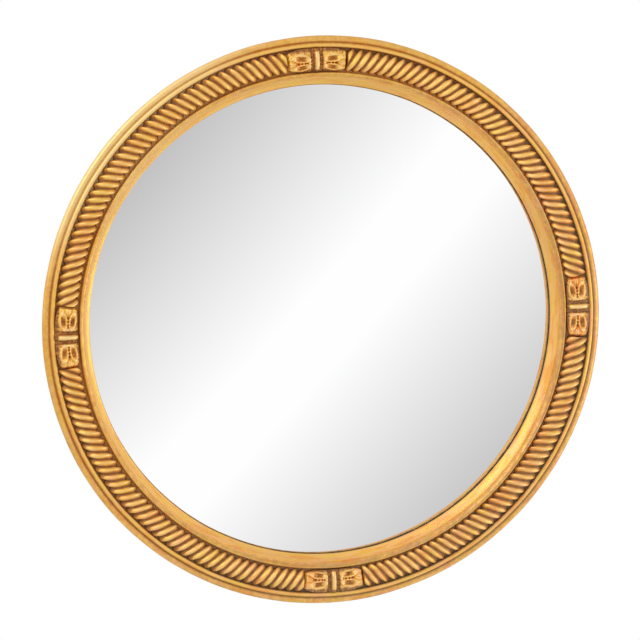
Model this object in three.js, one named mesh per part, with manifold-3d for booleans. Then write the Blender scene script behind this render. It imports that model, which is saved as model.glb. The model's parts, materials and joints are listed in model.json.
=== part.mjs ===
// Round gilt wall mirror: a turned frame with a rope band bound by four leaf clasps,
// a convex glass in its rebate, and a screwed back panel with two ring hangers.
//
// Lengths are in millimetres and angles in degrees. Everything is drawn as seen from
// the front: x to the right, y up, z forwards from the plane of the frame's back.
// The last group stands the drawing up, so that +Z is up and the glass faces -Y.

import * as THREE from 'three';
import { mergeVertices } from 'three/addons/utils/BufferGeometryUtils.js';
import Module from 'manifold-3d';

// ---- Driving dimensions -----------------------------------------------------------

// Clearances
const SEAT_GAP = 0.3; // between two pieces that touch
const GLASS_CLEARANCE = 1.5; // round the glass in its rebate

// Frame ring, widths of its mouldings from the outer edge inwards
const OUTER_DIAMETER = 610;
const OUTER_BEAD_RADIUS = 4.2;
const OUTER_BEAD_FROM = -50; // where the bead leaves the side
const OUTER_BEAD_TO = 140; // where it falls into the rim groove
const RIM_BEAD_RADIUS = 2.6;
const CHANNEL_BATTER = 0.6;
const SIGHT_ROLL_WIDTH = 6.3;
const SIGHT_ROLL_EDGE = 1.2; // rounding of the roll towards the rope
const SIGHT_QUIRK_WIDTH = 0.5;
const SIGHT_SLOPE_WIDTH = 7.2;
const LIP_LAND = 0.6;

// Frame ring, heights above its back
const WIDEST_HEIGHT = 25; // of the outer bead's centre
const RIM_BEAD_RISE = 7.2; // top of the rim bead above the widest line
const CHANNEL_DEPTH = 2; // rope channel's floor below the rim bead's centre
const SIGHT_ROLL_RISE = 9; // top of the sight roll above the widest line
const SIGHT_ROLL_DROP = 7.4; // from the roll's top to the head of the slope
const SIGHT_SLOPE_BULGE = 0.9;
const LIP_DROP = 4.5; // the lip's front edge below the widest line
const LIP_THICKNESS = 4.5;

// Frame ring, back and side
const BACK_TAPER = 11; // how far the back edge lies inside the widest line
const BACK_EDGE_HEIGHT = 5;
const SIDE_HOLLOW = 2.4;
const PANEL_LEDGE_WIDTH = 8;

// Rope band
const ROPE_WIDTH = 24.6;
const ROPE_HEIGHT = 10.8;
const STRANDS_PER_TURN = 192; // round the whole circle
const STRAND_RELIEF = 2.4;
const STRAND_TWIST = 4.4; // degrees of circle that one strand runs, from edge to edge

// Leaf clasps that bind the rope
const CLASP_LENGTH = 66;
const CLASP_BAR_WIDTH = 5;
const CLASP_BAR_RISE = 1; // bar above the rope's crest
const CLASP_BAR_ROUNDING = 1.1;
const CLASP_GROOVE_WIDTH = 3.5; // between the bar and a leaf
const CLASP_GROOVE_DEPTH = 4.5; // below the rope's crest
const CLASP_EDGE_HEIGHT = 4; // of the casting's sides
const LEAF_LENGTH = 25;
const LEAF_TIP_WIDTH = 16;
const LEAF_TAPER_POWER = 4; // how late a leaf narrows towards its tip
const LEAF_RISE = 0.5; // leaf's crest above the rope's crest
const LEAF_TIP_DROP = 2.5; // tip below the leaf's crest
const LOBE_HOLLOW_DEPTH = 2.2;
const VEIN_DEPTH = 3;
const VEIN_BEAD_RISE = 0.6; // beads at both ends of the vein, above the leaf's crest

// Convex glass, its seat and what holds it
const GLASS_OVERLAP = 3.3; // glass behind the lip
const GLASS_THICKNESS = 4;
const GLASS_CURVE_RADIUS = 1200;
const SEAT_STRIP_THICKNESS = 1.5;
const SEAT_STRIP_WIDTH = 3.4;
const BLOCK_COUNT = 8;
const BLOCK_LENGTH = 30;
const BLOCK_WIDTH = 10;

// Back panel and its countersunk screws
const PANEL_THICKNESS = 4;
const PANEL_SCREW_COUNT = 8;
const PANEL_SCREW_LENGTH = 16;
const SCREW_SHANK_DIAMETER = 3.4;
const COUNTERSUNK_HEAD_DIAMETER = 7;
const COUNTERSUNK_HEAD_HEIGHT = 2;

// Strap hangers with their rings and screws
const HANGER_ANGLE = 55; // from the top of the frame, to each side
const STRAP_LENGTH = 43; // from the hinge line
const STRAP_WIDTH = 12;
const STRAP_THICKNESS = 2;
const STRAP_EYE_WALL = 1;
const STRAP_END_ROUNDING = 4;
const STRAP_FIRST_HOLE = 20.5; // from the hinge line
const STRAP_LAST_HOLE_MARGIN = 7; // from the strap's end
const HINGE_OFFSET = 18; // hinge line beyond the middle of the hanger
const RING_WIRE_DIAMETER = 2.5;
const RING_WIDTH = 19; // at the wire's centre line
const RING_SIDE = 4.5; // straight side of the D
const RING_CORNER_RADIUS = 2.2;
const RING_BUTT_GAP = 0.5; // where the ends of the bent wire meet
const HANGER_SCREW_LENGTH = 12;
const PAN_HEAD_DIAMETER = 6.6;
const PAN_HEAD_FLAT_DIAMETER = 4;
const PAN_HEAD_HEIGHT = 1.9;

// Felt bumpers
const BUMPER_ANGLE = 35; // from the bottom of the frame, to each side
const BUMPER_DIAMETER = 13;
const BUMPER_THICKNESS = 4;
const BUMPER_ROUNDING = 1;

// Faceting
const WELD_DISTANCE = 1e-4;
const RING_FACETS = 72;
const SIDE_STEPS = 3;
const OUTER_BEAD_STEPS = 4;
const RIM_BEAD_STEPS = 3;
const ROLL_EDGE_STEPS = 2;
const ROLL_STEPS = 3;
const SLOPE_STEPS = 3;
const GLASS_FACETS = 48;
const GLASS_RINGS = 3;
const STRIP_FACETS = 36;
const SCREW_FACETS = 8;
const BUMPER_FACETS = 16;
const ROPE_SECTION_STEPS = 4;
const STRAND_PROFILE = [0, 1, 1]; // valley and the two shoulders of one strand
const WIRE_FACETS = 6;
const WIRE_STEPS = 24;
const LEAF_STEPS = 5;
const EYE_SEGMENTS = 6;
const STRAP_END_SEGMENTS = 2;

// ---- Radii and heights that follow ------------------------------------------------

const outerRadius = OUTER_DIAMETER / 2;
const outerBeadCentre = outerRadius - OUTER_BEAD_RADIUS;
const rimGrooveRadius = outerBeadCentre + OUTER_BEAD_RADIUS * cosine(OUTER_BEAD_TO);
const rimBeadCentre = rimGrooveRadius - RIM_BEAD_RADIUS;
const rimBeadHeight = WIDEST_HEIGHT + RIM_BEAD_RISE - RIM_BEAD_RADIUS;
const ringFlat = cosine(180 / RING_FACETS); // how near a facet's middle comes to the axis
const channelOuter = rimBeadCentre - RIM_BEAD_RADIUS;
const channelFloor = rimBeadHeight - CHANNEL_DEPTH;
const channelInner = channelOuter * ringFlat - ROPE_WIDTH - 2 * SEAT_GAP;
const ropeRadius = channelInner + SEAT_GAP + ROPE_WIDTH / 2;
const ropeBase = channelFloor + SEAT_GAP;
const sightRollOuter = channelInner - CHANNEL_BATTER;
const sightRollTop = WIDEST_HEIGHT + SIGHT_ROLL_RISE;
const slopeHead = sightRollOuter - SIGHT_ROLL_WIDTH - SIGHT_QUIRK_WIDTH;
const slopeHeadHeight = sightRollTop - SIGHT_ROLL_DROP;
const slopeFoot = slopeHead - SIGHT_SLOPE_WIDTH;
const lipHeight = WIDEST_HEIGHT - LIP_DROP;
const sightRadius = slopeFoot - LIP_LAND;
const seatHeight = lipHeight - LIP_THICKNESS;

const glassRadius = sightRadius + GLASS_OVERLAP;
const rebateRadius = glassRadius + GLASS_CLEARANCE;
const glassRimFront = seatHeight - SEAT_STRIP_THICKNESS - 2 * SEAT_GAP;
const panelLedgeRadius = rebateRadius + PANEL_LEDGE_WIDTH;
const panelLedgeHeight = PANEL_THICKNESS + SEAT_GAP;
const panelRadius = panelLedgeRadius * ringFlat - SEAT_GAP;
const panelScrewRadius = rebateRadius + PANEL_LEDGE_WIDTH / 2;
const backEdgeRadius = outerRadius - BACK_TAPER;
const backMiddleRadius = (panelLedgeRadius + backEdgeRadius) / 2;

const claspHalfAngle = degrees(CLASP_LENGTH / 2 / ropeRadius);
const strandPitch = 360 / STRANDS_PER_TURN;
const screwHoleRadius = SCREW_SHANK_DIAMETER / 2 + SEAT_GAP;
const strapHoles = [STRAP_FIRST_HOLE, STRAP_LENGTH - STRAP_LAST_HOLE_MARGIN]; // from the hinge line

// ---- Small helpers ----------------------------------------------------------------

function radians(angle) {
  return THREE.MathUtils.degToRad(angle);
}

function degrees(angle) {
  return THREE.MathUtils.radToDeg(angle);
}

function cosine(angle) {
  return Math.cos(radians(angle));
}

function sine(angle) {
  return Math.sin(radians(angle));
}

// Points on an arc of a moulding's section, ends included: round, or an ellipse of
// another radius upwards.
function arc(centre, height, radius, from, to, steps, upwards = radius) {
  const points = [];
  for (let i = 0; i <= steps; i++) {
    const angle = from + ((to - from) * i) / steps;
    points.push(new THREE.Vector2(centre + radius * cosine(angle), height + upwards * sine(angle)));
  }
  return points;
}

// A shallow curve from one point to another that bows sideways by bulge at its middle.
function bow(from, to, bulge, steps) {
  const across = to.clone().sub(from).normalize();
  const aside = new THREE.Vector2(across.y, -across.x).multiplyScalar(2 * bulge);
  const control = from.clone().add(to).multiplyScalar(0.5).add(aside);
  return new THREE.QuadraticBezierCurve(from, control, to).getPoints(steps);
}

// Six times the volume inside a welded mesh, negative when its faces point inwards.
function signedVolume(geometry) {
  const position = geometry.getAttribute('position');
  const corners = [new THREE.Vector3(), new THREE.Vector3(), new THREE.Vector3()];
  let sum = 0;
  for (let i = 0; i < geometry.index.count; i += 3) {
    corners.forEach((corner, k) => corner.fromBufferAttribute(position, geometry.index.getX(i + k)));
    sum += corners[0].dot(corners[1].clone().cross(corners[2]));
  }
  return sum;
}

// One closed skin: shared vertices joined, empty triangles dropped, faces outwards.
function weld(geometry) {
  const bare = new THREE.BufferGeometry();
  bare.setAttribute('position', geometry.getAttribute('position').clone());
  if (geometry.index) bare.setIndex(geometry.index.clone());
  const skin = mergeVertices(bare, WELD_DISTANCE);
  const kept = [];
  for (let i = 0; i < skin.index.count; i += 3) {
    const [a, b, c] = [0, 1, 2].map((k) => skin.index.getX(i + k));
    if (a !== b && b !== c && c !== a) kept.push(a, b, c);
  }
  skin.setIndex(kept);
  if (signedVolume(skin) < 0) skin.setIndex(kept.reverse());
  return skin;
}

// A section of (radius, height) points turned round the z axis.
function turned(profile, facets) {
  return weld(new THREE.LatheGeometry(profile, facets).rotateX(Math.PI / 2));
}

const wasm = await Module();
wasm.setup();

function solid(geometry) {
  const skin = weld(geometry);
  return new wasm.Manifold(
    new wasm.Mesh({
      numProp: 3,
      vertProperties: Float32Array.from(skin.getAttribute('position').array),
      triVerts: Uint32Array.from(skin.index.array),
    }),
  );
}

function surface(body) {
  const mesh = body.getMesh();
  const geometry = new THREE.BufferGeometry();
  geometry.setAttribute('position', new THREE.Float32BufferAttribute(mesh.vertProperties, 3));
  geometry.setIndex(Array.from(mesh.triVerts));
  return geometry;
}

// ---- Materials --------------------------------------------------------------------

function finish(color, roughness, metalness) {
  return new THREE.MeshStandardMaterial({ color, roughness, metalness });
}

const gilt = finish(0xd2a05a, 0.42, 0.7);
const giltOrnament = finish(0xc79a55, 0.45, 0.7);
const silveredGlass = finish(0xe6e8ea, 0.04, 1);
const blackFelt = finish(0x1d1b1a, 0.95, 0);
const pine = finish(0xb88f5e, 0.8, 0);
const plywood = finish(0xa98256, 0.75, 0);
const brass = finish(0xb5933f, 0.35, 0.9);
const steel = finish(0x9b9a95, 0.4, 0.9);

// ---- Assembly ---------------------------------------------------------------------

const mirror = new THREE.Group();
mirror.rotation.x = Math.PI / 2;

function addPiece(name, geometry, material, parent = mirror) {
  const mesh = new THREE.Mesh(geometry, material);
  mesh.name = name;
  parent.add(mesh);
  return mesh;
}

// ---- Screws -----------------------------------------------------------------------
// Each screw is drawn with the underside of its head at z = 0 and its shank along +z.

function countersunkScrew() {
  const head = COUNTERSUNK_HEAD_DIAMETER / 2;
  const shank = SCREW_SHANK_DIAMETER / 2;
  const profile = [
    new THREE.Vector2(0, 0),
    new THREE.Vector2(head, 0),
    new THREE.Vector2(shank, COUNTERSUNK_HEAD_HEIGHT),
    new THREE.Vector2(shank, PANEL_SCREW_LENGTH - SCREW_SHANK_DIAMETER),
    new THREE.Vector2(0, PANEL_SCREW_LENGTH),
  ];
  return turned(profile, SCREW_FACETS);
}

function panHeadScrew() {
  const head = PAN_HEAD_DIAMETER / 2;
  const shank = SCREW_SHANK_DIAMETER / 2;
  const profile = [
    new THREE.Vector2(0, -PAN_HEAD_HEIGHT),
    new THREE.Vector2(PAN_HEAD_FLAT_DIAMETER / 2, -PAN_HEAD_HEIGHT),
    new THREE.Vector2(head, 0),
    new THREE.Vector2(shank, 0),
    new THREE.Vector2(shank, HANGER_SCREW_LENGTH - SCREW_SHANK_DIAMETER),
    new THREE.Vector2(0, HANGER_SCREW_LENGTH),
  ];
  return turned(profile, SCREW_FACETS);
}

// The hole that a screw needs: a grown shank, from z = start to z = end.
function screwHole(start, end) {
  const length = end - start;
  const hole = new THREE.CylinderGeometry(screwHoleRadius, screwHoleRadius, length, SCREW_FACETS);
  return hole.rotateX(Math.PI / 2).translate(0, 0, (start + end) / 2);
}

// ---- Places round the frame ---------------------------------------------------------

function evenAngles(count, first) {
  return Array.from({ length: count }, (_, i) => first + (360 / count) * i);
}

const panelScrewAngles = evenAngles(PANEL_SCREW_COUNT, 180 / PANEL_SCREW_COUNT);

// A hanger's own frame: x across the strap, y along it towards the ring's hinge.
const hangers = [
  { side: 'right', polar: 90 - HANGER_ANGLE, turn: 90 - HANGER_ANGLE },
  { side: 'left', polar: 90 + HANGER_ANGLE, turn: 270 + HANGER_ANGLE },
];

function hangerGroup({ polar, turn }) {
  const group = new THREE.Group();
  group.position.set(backMiddleRadius * cosine(polar), backMiddleRadius * sine(polar), 0);
  group.rotation.z = radians(turn);
  return group;
}

// ---- Frame ring -------------------------------------------------------------------

function frameProfile() {
  const side = new THREE.Vector2(backEdgeRadius, BACK_EDGE_HEIGHT);
  const outerBead = arc(
    outerBeadCentre,
    WIDEST_HEIGHT,
    OUTER_BEAD_RADIUS,
    OUTER_BEAD_FROM,
    OUTER_BEAD_TO,
    OUTER_BEAD_STEPS,
  );
  const rimBead = arc(rimBeadCentre, rimBeadHeight, RIM_BEAD_RADIUS, 0, 180, RIM_BEAD_STEPS);
  const edge = SIGHT_ROLL_EDGE;
  const rollCentre = sightRollOuter - edge;
  const rollEdge = arc(rollCentre, sightRollTop - edge, edge, 0, 90, ROLL_EDGE_STEPS);
  const rollWidth = SIGHT_ROLL_WIDTH - edge;
  const roll = arc(rollCentre, slopeHeadHeight, rollWidth, 90, 180, ROLL_STEPS, SIGHT_ROLL_DROP).slice(1);
  const head = new THREE.Vector2(slopeHead, slopeHeadHeight);
  const foot = new THREE.Vector2(slopeFoot, lipHeight);
  const profile = [
    ...bow(side, outerBead[0], -SIDE_HOLLOW, SIDE_STEPS).slice(0, -1),
    ...outerBead,
    ...rimBead,
    new THREE.Vector2(channelOuter, channelFloor),
    new THREE.Vector2(channelInner, channelFloor),
    ...rollEdge,
    ...roll,
    ...bow(head, foot, -SIGHT_SLOPE_BULGE, SLOPE_STEPS),
    new THREE.Vector2(sightRadius, lipHeight - LIP_LAND / 2),
    new THREE.Vector2(sightRadius, seatHeight),
    new THREE.Vector2(rebateRadius, seatHeight),
    new THREE.Vector2(rebateRadius, panelLedgeHeight),
    new THREE.Vector2(panelLedgeRadius, panelLedgeHeight),
    new THREE.Vector2(panelLedgeRadius, 0),
    new THREE.Vector2(backEdgeRadius, 0),
  ];
  profile.push(profile[0].clone());
  return profile;
}

function frameRing() {
  let ring = solid(turned(frameProfile(), RING_FACETS));
  const panelHole = screwHole(0, PANEL_SCREW_LENGTH + SEAT_GAP);
  for (const angle of panelScrewAngles) {
    const place = new THREE.Matrix4().makeTranslation(
      panelScrewRadius * cosine(angle),
      panelScrewRadius * sine(angle),
      0,
    );
    ring = ring.subtract(solid(panelHole.clone().applyMatrix4(place)));
  }
  const hangerHole = screwHole(-SEAT_GAP, HANGER_SCREW_LENGTH);
  for (const hanger of hangers) {
    const group = hangerGroup(hanger);
    group.updateMatrix();
    for (const distance of strapHoles) {
      const place = new THREE.Matrix4().makeTranslation(0, HINGE_OFFSET - distance, 0);
      place.premultiply(group.matrix);
      ring = ring.subtract(solid(hangerHole.clone().applyMatrix4(place)));
    }
  }
  return surface(ring);
}

addPiece('frame_ring', frameRing(), gilt);

// ---- Rope band --------------------------------------------------------------------
// A half-round band whose strands are helices: a line along a strand climbs over the
// section from one edge to the other while it runs on round the circle. The grid
// follows the strands, and a wedge then trims the band square to the clasps.

function strandPoint(along, over, relief, hand) {
  const lean = STRAND_TWIST * (over / 180 - 0.5) * hand;
  const inset = STRAND_RELIEF * (1 - relief);
  const radius = ropeRadius - (ROPE_WIDTH / 2 - inset) * cosine(over);
  const height = ropeBase + (ROPE_HEIGHT - inset) * sine(over);
  const angle = along + lean;
  return [radius * cosine(angle), radius * sine(angle), height];
}

function ropeBand(hand) {
  const reach = 90 - 2 * claspHalfAngle - 2 * degrees(SEAT_GAP / (ropeRadius - ROPE_WIDTH / 2));
  const perStrand = STRAND_PROFILE.length;
  const columns = perStrand * Math.ceil((reach + STRAND_TWIST) / strandPitch + 1);
  const across = ROPE_SECTION_STEPS + 1;
  const positions = [];
  for (let i = 0; i <= columns; i++) {
    const along = ((i - columns / 2) * strandPitch) / perStrand;
    for (let j = 0; j < across; j++) {
      const over = (180 * j) / ROPE_SECTION_STEPS;
      positions.push(...strandPoint(along, over, STRAND_PROFILE[i % perStrand], hand));
    }
  }
  const index = [];
  for (let i = 0; i < columns; i++) {
    for (let j = 0; j < across; j++) {
      const next = (j + 1) % across;
      const [a, b] = [i * across + j, i * across + next];
      const [c, d] = [a + across, b + across];
      index.push(a, c, b, b, c, d);
    }
  }
  const last = columns * across;
  for (let j = 1; j < across - 1; j++) {
    index.push(0, j, j + 1);
    index.push(last, last + j + 1, last + j);
  }
  const band = new THREE.BufferGeometry();
  band.setAttribute('position', new THREE.Float32BufferAttribute(positions, 3));
  band.setIndex(index);
  return surface(solid(band).intersect(solid(wedge(reach))));
}

// A prism from the mirror's axis outwards, open to angle, its middle on the x axis.
function wedge(angle) {
  const far = 2 * outerRadius;
  const shape = new THREE.Shape([
    new THREE.Vector2(0, 0),
    new THREE.Vector2(far * cosine(angle / 2), -far * sine(angle / 2)),
    new THREE.Vector2(far * cosine(angle / 2), far * sine(angle / 2)),
  ]);
  return new THREE.ExtrudeGeometry(shape, { depth: 2 * sightRollTop, bevelEnabled: false });
}

const ropeForward = ropeBand(1);
const ropeBackward = ropeBand(-1);
const ropeBands = [
  { name: 'rope_band_top_right', geometry: ropeBackward, middle: 45 },
  { name: 'rope_band_top_left', geometry: ropeForward, middle: 135 },
  { name: 'rope_band_bottom_left', geometry: ropeBackward, middle: 225 },
  { name: 'rope_band_bottom_right', geometry: ropeForward, middle: 315 },
];
for (const { name, geometry, middle } of ropeBands) {
  addPiece(name, geometry, giltOrnament).rotation.z = radians(middle);
}

// ---- Leaf clasps ------------------------------------------------------------------
// One casting: a cross bar between two leaves. It is drawn straight as rows of heights,
// x outwards from the middle of the rope, y along it and z up from its base. Each leaf
// is a pair of lobes with sunk middles, parted by a vein with a bead at each end.

const leafAcross = [-1, -0.8, -0.5, -0.22, 0, 0.22, 0.5, 0.8, 1]; // edge, rim, hollow, rim, vein
const lobeHollow = [0, 0, 1, 0, 0, 0, 1, 0, 0];
const leafVein = [0, 0, 0, 0, 1, 0, 0, 0, 0];

// Rows from the middle of the bar to one end: place, half width, crest and carving.
function claspRows() {
  const half = ROPE_WIDTH / 2;
  const bar = CLASP_BAR_WIDTH / 2;
  const barTop = ROPE_HEIGHT + CLASP_BAR_RISE;
  const groove = ROPE_HEIGHT - CLASP_GROOVE_DEPTH;
  const leafStart = bar + CLASP_GROOVE_WIDTH;
  const plain = { hollow: 0, vein: 0 };
  const rows = [
    { y: bar - CLASP_BAR_ROUNDING, width: half, crest: barTop, ...plain },
    { y: bar, width: half, crest: barTop - CLASP_BAR_ROUNDING, ...plain },
    { y: bar + SEAT_GAP, width: half, crest: groove, ...plain },
    { y: leafStart - SEAT_GAP, width: half, crest: groove, ...plain },
  ];
  for (let i = 0; i <= LEAF_STEPS; i++) {
    const along = i / LEAF_STEPS;
    const belly = Math.sin(Math.PI * along);
    const atEnd = i === 0 || i === LEAF_STEPS;
    rows.push({
      y: leafStart + LEAF_LENGTH * along,
      width: half + (LEAF_TIP_WIDTH / 2 - half) * along ** LEAF_TAPER_POWER,
      crest: ROPE_HEIGHT + LEAF_RISE - LEAF_TIP_DROP * (1 - belly),
      hollow: atEnd ? 0 : LOBE_HOLLOW_DEPTH * belly,
      vein: atEnd ? -LEAF_TIP_DROP - VEIN_BEAD_RISE + LEAF_RISE : VEIN_DEPTH,
    });
  }
  rows.push({ y: CLASP_LENGTH / 2, width: LEAF_TIP_WIDTH / 2, crest: groove, ...plain });
  return rows;
}

function clasp() {
  const end = claspRows();
  const start = end.map((row) => ({ ...row, y: -row.y })).reverse();
  const rows = [...start, ...end];
  const across = leafAcross.length;
  const positions = [];
  const place = (x, y, z) => {
    const radius = ropeRadius + x;
    const angle = y / ropeRadius;
    positions.push(radius * Math.cos(angle), radius * Math.sin(angle), ropeBase + z);
  };
  for (const { y, width, crest, hollow, vein } of rows) {
    leafAcross.forEach((s, j) => {
      const round = Math.sqrt(1 - s ** 2);
      const carved = hollow * lobeHollow[j] + vein * leafVein[j];
      place(s * width, y, CLASP_EDGE_HEIGHT + (crest - CLASP_EDGE_HEIGHT) * round - carved);
    });
  }
  for (const { y, width } of rows) {
    place(-width, y, 0);
    place(width, y, 0);
  }
  const index = [];
  const quad = (a, b, c, d) => index.push(a, b, c, c, b, d);
  const under = rows.length * across;
  for (let i = 0; i + 1 < rows.length; i++) {
    const [a, b] = [i * across, (i + 1) * across];
    const [c, d] = [under + 2 * i, under + 2 * (i + 1)];
    for (let j = 0; j + 1 < across; j++) quad(a + j, a + j + 1, b + j, b + j + 1);
    quad(c, a, d, b);
    quad(a + across - 1, c + 1, b + across - 1, d + 1);
    quad(c + 1, c, d + 1, d);
  }
  for (const [i, turn] of [[0, false], [rows.length - 1, true]]) {
    const rim = [under + 2 * i, under + 2 * i + 1];
    for (let j = across - 1; j >= 0; j--) rim.push(i * across + j);
    if (turn) rim.reverse();
    for (let k = 1; k + 1 < rim.length; k++) index.push(rim[0], rim[k], rim[k + 1]);
  }
  const casting = new THREE.BufferGeometry();
  casting.setAttribute('position', new THREE.Float32BufferAttribute(positions, 3));
  casting.setIndex(index);
  return weld(casting);
}

const claspGeometry = clasp();
const clasps = { clasp_right: 0, clasp_top: 90, clasp_left: 180, clasp_bottom: 270 };
for (const [name, angle] of Object.entries(clasps)) {
  addPiece(name, claspGeometry, giltOrnament).rotation.z = radians(angle);
}

// ---- Convex glass and its seat ----------------------------------------------------

// Height of the glass's front or back at a radius: two spheres about one centre.
function glassHeight(radius, inset) {
  const curve = GLASS_CURVE_RADIUS;
  const rise = Math.sqrt((curve - inset) ** 2 - radius ** 2) - Math.sqrt(curve ** 2 - glassRadius ** 2);
  return glassRimFront + rise;
}

function glassFace(inset) {
  const points = [];
  for (let i = 0; i <= GLASS_RINGS; i++) {
    const radius = (glassRadius * i) / GLASS_RINGS;
    points.push(new THREE.Vector2(radius, glassHeight(radius, inset)));
  }
  return points;
}

const glassProfile = [...glassFace(0), ...glassFace(GLASS_THICKNESS).reverse()];
addPiece('mirror_glass', turned(glassProfile, GLASS_FACETS), silveredGlass);

function seatStrip() {
  const outer = rebateRadius * ringFlat - SEAT_GAP;
  const inner = outer - SEAT_STRIP_WIDTH;
  const top = seatHeight - SEAT_GAP;
  const profile = [
    new THREE.Vector2(inner, top),
    new THREE.Vector2(outer, top),
    new THREE.Vector2(outer, glassRimFront + SEAT_GAP),
    new THREE.Vector2(glassRadius, glassRimFront + SEAT_GAP),
    new THREE.Vector2(inner, glassHeight(inner, 0) + SEAT_GAP),
    new THREE.Vector2(inner, top),
  ];
  return turned(profile, STRIP_FACETS);
}

addPiece('glass_seat_strip', seatStrip(), blackFelt);

// Wooden blocks glued into the rebate behind the glass's rim.
function glazingBlock() {
  const outer = rebateRadius * ringFlat - SEAT_GAP;
  const halfAngle = degrees(BLOCK_LENGTH / 2 / outer);
  const inner = outer - BLOCK_WIDTH;
  const shape = new THREE.Shape();
  shape.moveTo(inner, -BLOCK_LENGTH / 2);
  for (const angle of [-halfAngle, 0, halfAngle]) {
    shape.lineTo(outer * cosine(angle), outer * sine(angle));
  }
  shape.lineTo(inner, BLOCK_LENGTH / 2);
  shape.closePath();
  const bottom = panelLedgeHeight;
  const top = glassHeight(glassRadius, GLASS_THICKNESS) - SEAT_GAP;
  const block = new THREE.ExtrudeGeometry(shape, { depth: top - bottom, bevelEnabled: false });
  return weld(block.translate(0, 0, bottom));
}

const blockGeometry = glazingBlock();
evenAngles(BLOCK_COUNT, 0).forEach((angle, i) => {
  addPiece(`glazing_block_${i + 1}`, blockGeometry, pine).rotation.z = radians(angle);
});

// ---- Back panel -------------------------------------------------------------------

function backPanel() {
  const disc = [
    new THREE.Vector2(0, 0),
    new THREE.Vector2(panelRadius, 0),
    new THREE.Vector2(panelRadius, PANEL_THICKNESS),
    new THREE.Vector2(0, PANEL_THICKNESS),
  ];
  let panel = solid(turned(disc, RING_FACETS));
  const mouth = COUNTERSUNK_HEAD_DIAMETER / 2 + SEAT_GAP;
  const countersink = [
    new THREE.Vector2(0, -SEAT_GAP),
    new THREE.Vector2(mouth + SEAT_GAP, -SEAT_GAP),
    new THREE.Vector2(mouth, SEAT_GAP),
    new THREE.Vector2(screwHoleRadius, COUNTERSUNK_HEAD_HEIGHT + SEAT_GAP),
    new THREE.Vector2(screwHoleRadius, PANEL_THICKNESS + SEAT_GAP),
    new THREE.Vector2(0, PANEL_THICKNESS + SEAT_GAP),
  ];
  const hole = turned(countersink, SCREW_FACETS);
  for (const angle of panelScrewAngles) {
    const at = [panelScrewRadius * cosine(angle), panelScrewRadius * sine(angle), 0];
    panel = panel.subtract(solid(hole.clone().translate(...at)));
  }
  return surface(panel);
}

addPiece('back_panel', backPanel(), plywood);

const panelScrewGeometry = countersunkScrew();
panelScrewAngles.forEach((angle, i) => {
  const screw = addPiece(`panel_screw_${i + 1}`, panelScrewGeometry, brass);
  screw.position.set(panelScrewRadius * cosine(angle), panelScrewRadius * sine(angle), 0);
});

// ---- Strap hangers ----------------------------------------------------------------

const eyeInner = RING_WIRE_DIAMETER / 2 + SEAT_GAP;
const eyeOuter = eyeInner + STRAP_EYE_WALL;
const hingeHeight = -SEAT_GAP - eyeOuter;
const strapBack = -SEAT_GAP - STRAP_THICKNESS;

// A strip folded round the ring's straight leg: an eye with two layers of strap.
function strapHanger() {
  const meet = Math.sqrt(eyeOuter ** 2 - (strapBack - hingeHeight) ** 2);
  const foot = Math.atan2(strapBack - hingeHeight, -meet);
  const section = new THREE.Shape();
  section.moveTo(-STRAP_LENGTH, strapBack);
  section.lineTo(-meet, strapBack);
  section.absarc(0, hingeHeight, eyeOuter, foot, Math.PI / 2, false);
  section.lineTo(-STRAP_LENGTH, -SEAT_GAP);
  section.closePath();
  const eye = new THREE.Path();
  eye.absarc(0, hingeHeight, eyeInner, 0, 2 * Math.PI, true);
  section.holes.push(eye);
  const options = { depth: STRAP_WIDTH, curveSegments: EYE_SEGMENTS, bevelEnabled: false };
  const strip = new THREE.ExtrudeGeometry(section, options).translate(0, 0, -STRAP_WIDTH / 2);
  // the section's (along, height) become y and z, and its extrusion becomes x
  const turnOver = new THREE.Matrix4().makeBasis(
    new THREE.Vector3(0, 1, 0),
    new THREE.Vector3(0, 0, 1),
    new THREE.Vector3(1, 0, 0),
  );
  let strap = solid(strip.applyMatrix4(turnOver));
  strap = strap.intersect(solid(strapPlan()));
  for (const distance of strapHoles) {
    const hole = screwHole(2 * hingeHeight, SEAT_GAP).translate(0, -distance, 0);
    strap = strap.subtract(solid(hole));
  }
  return surface(strap);
}

// The strap seen from behind, with its rounded end.
function strapPlan() {
  const half = STRAP_WIDTH / 2 + SEAT_GAP;
  const round = STRAP_END_ROUNDING;
  const shape = new THREE.Shape();
  shape.moveTo(half, 2 * eyeOuter);
  shape.lineTo(-half, 2 * eyeOuter);
  shape.absarc(-half + round, -STRAP_LENGTH + round, round, Math.PI, 1.5 * Math.PI, false);
  shape.absarc(half - round, -STRAP_LENGTH + round, round, 1.5 * Math.PI, 2 * Math.PI, false);
  shape.closePath();
  const options = { depth: 4 * eyeOuter, curveSegments: STRAP_END_SEGMENTS, bevelEnabled: false };
  return new THREE.ExtrudeGeometry(shape, options).translate(0, 0, -3 * eyeOuter);
}

// The bent wire's centre line, from one butt end round the D to the other.
class WireLine extends THREE.Curve {
  constructor() {
    super();
    const half = RING_WIDTH / 2;
    const corner = RING_CORNER_RADIUS;
    const line = new THREE.Path();
    line.moveTo(RING_BUTT_GAP / 2, 0);
    line.lineTo(half - corner, 0);
    line.absarc(half - corner, corner, corner, -Math.PI / 2, 0, false);
    line.lineTo(half, RING_SIDE);
    line.absarc(0, RING_SIDE, half, 0, Math.PI, false);
    line.lineTo(-half, corner);
    line.absarc(-half + corner, corner, corner, Math.PI, 1.5 * Math.PI, false);
    line.lineTo(-RING_BUTT_GAP / 2, 0);
    this.line = line;
  }

  getPoint(t, target = new THREE.Vector3()) {
    const point = this.line.getPoint(t);
    return target.set(point.x, -point.y, 0);
  }
}

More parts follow.
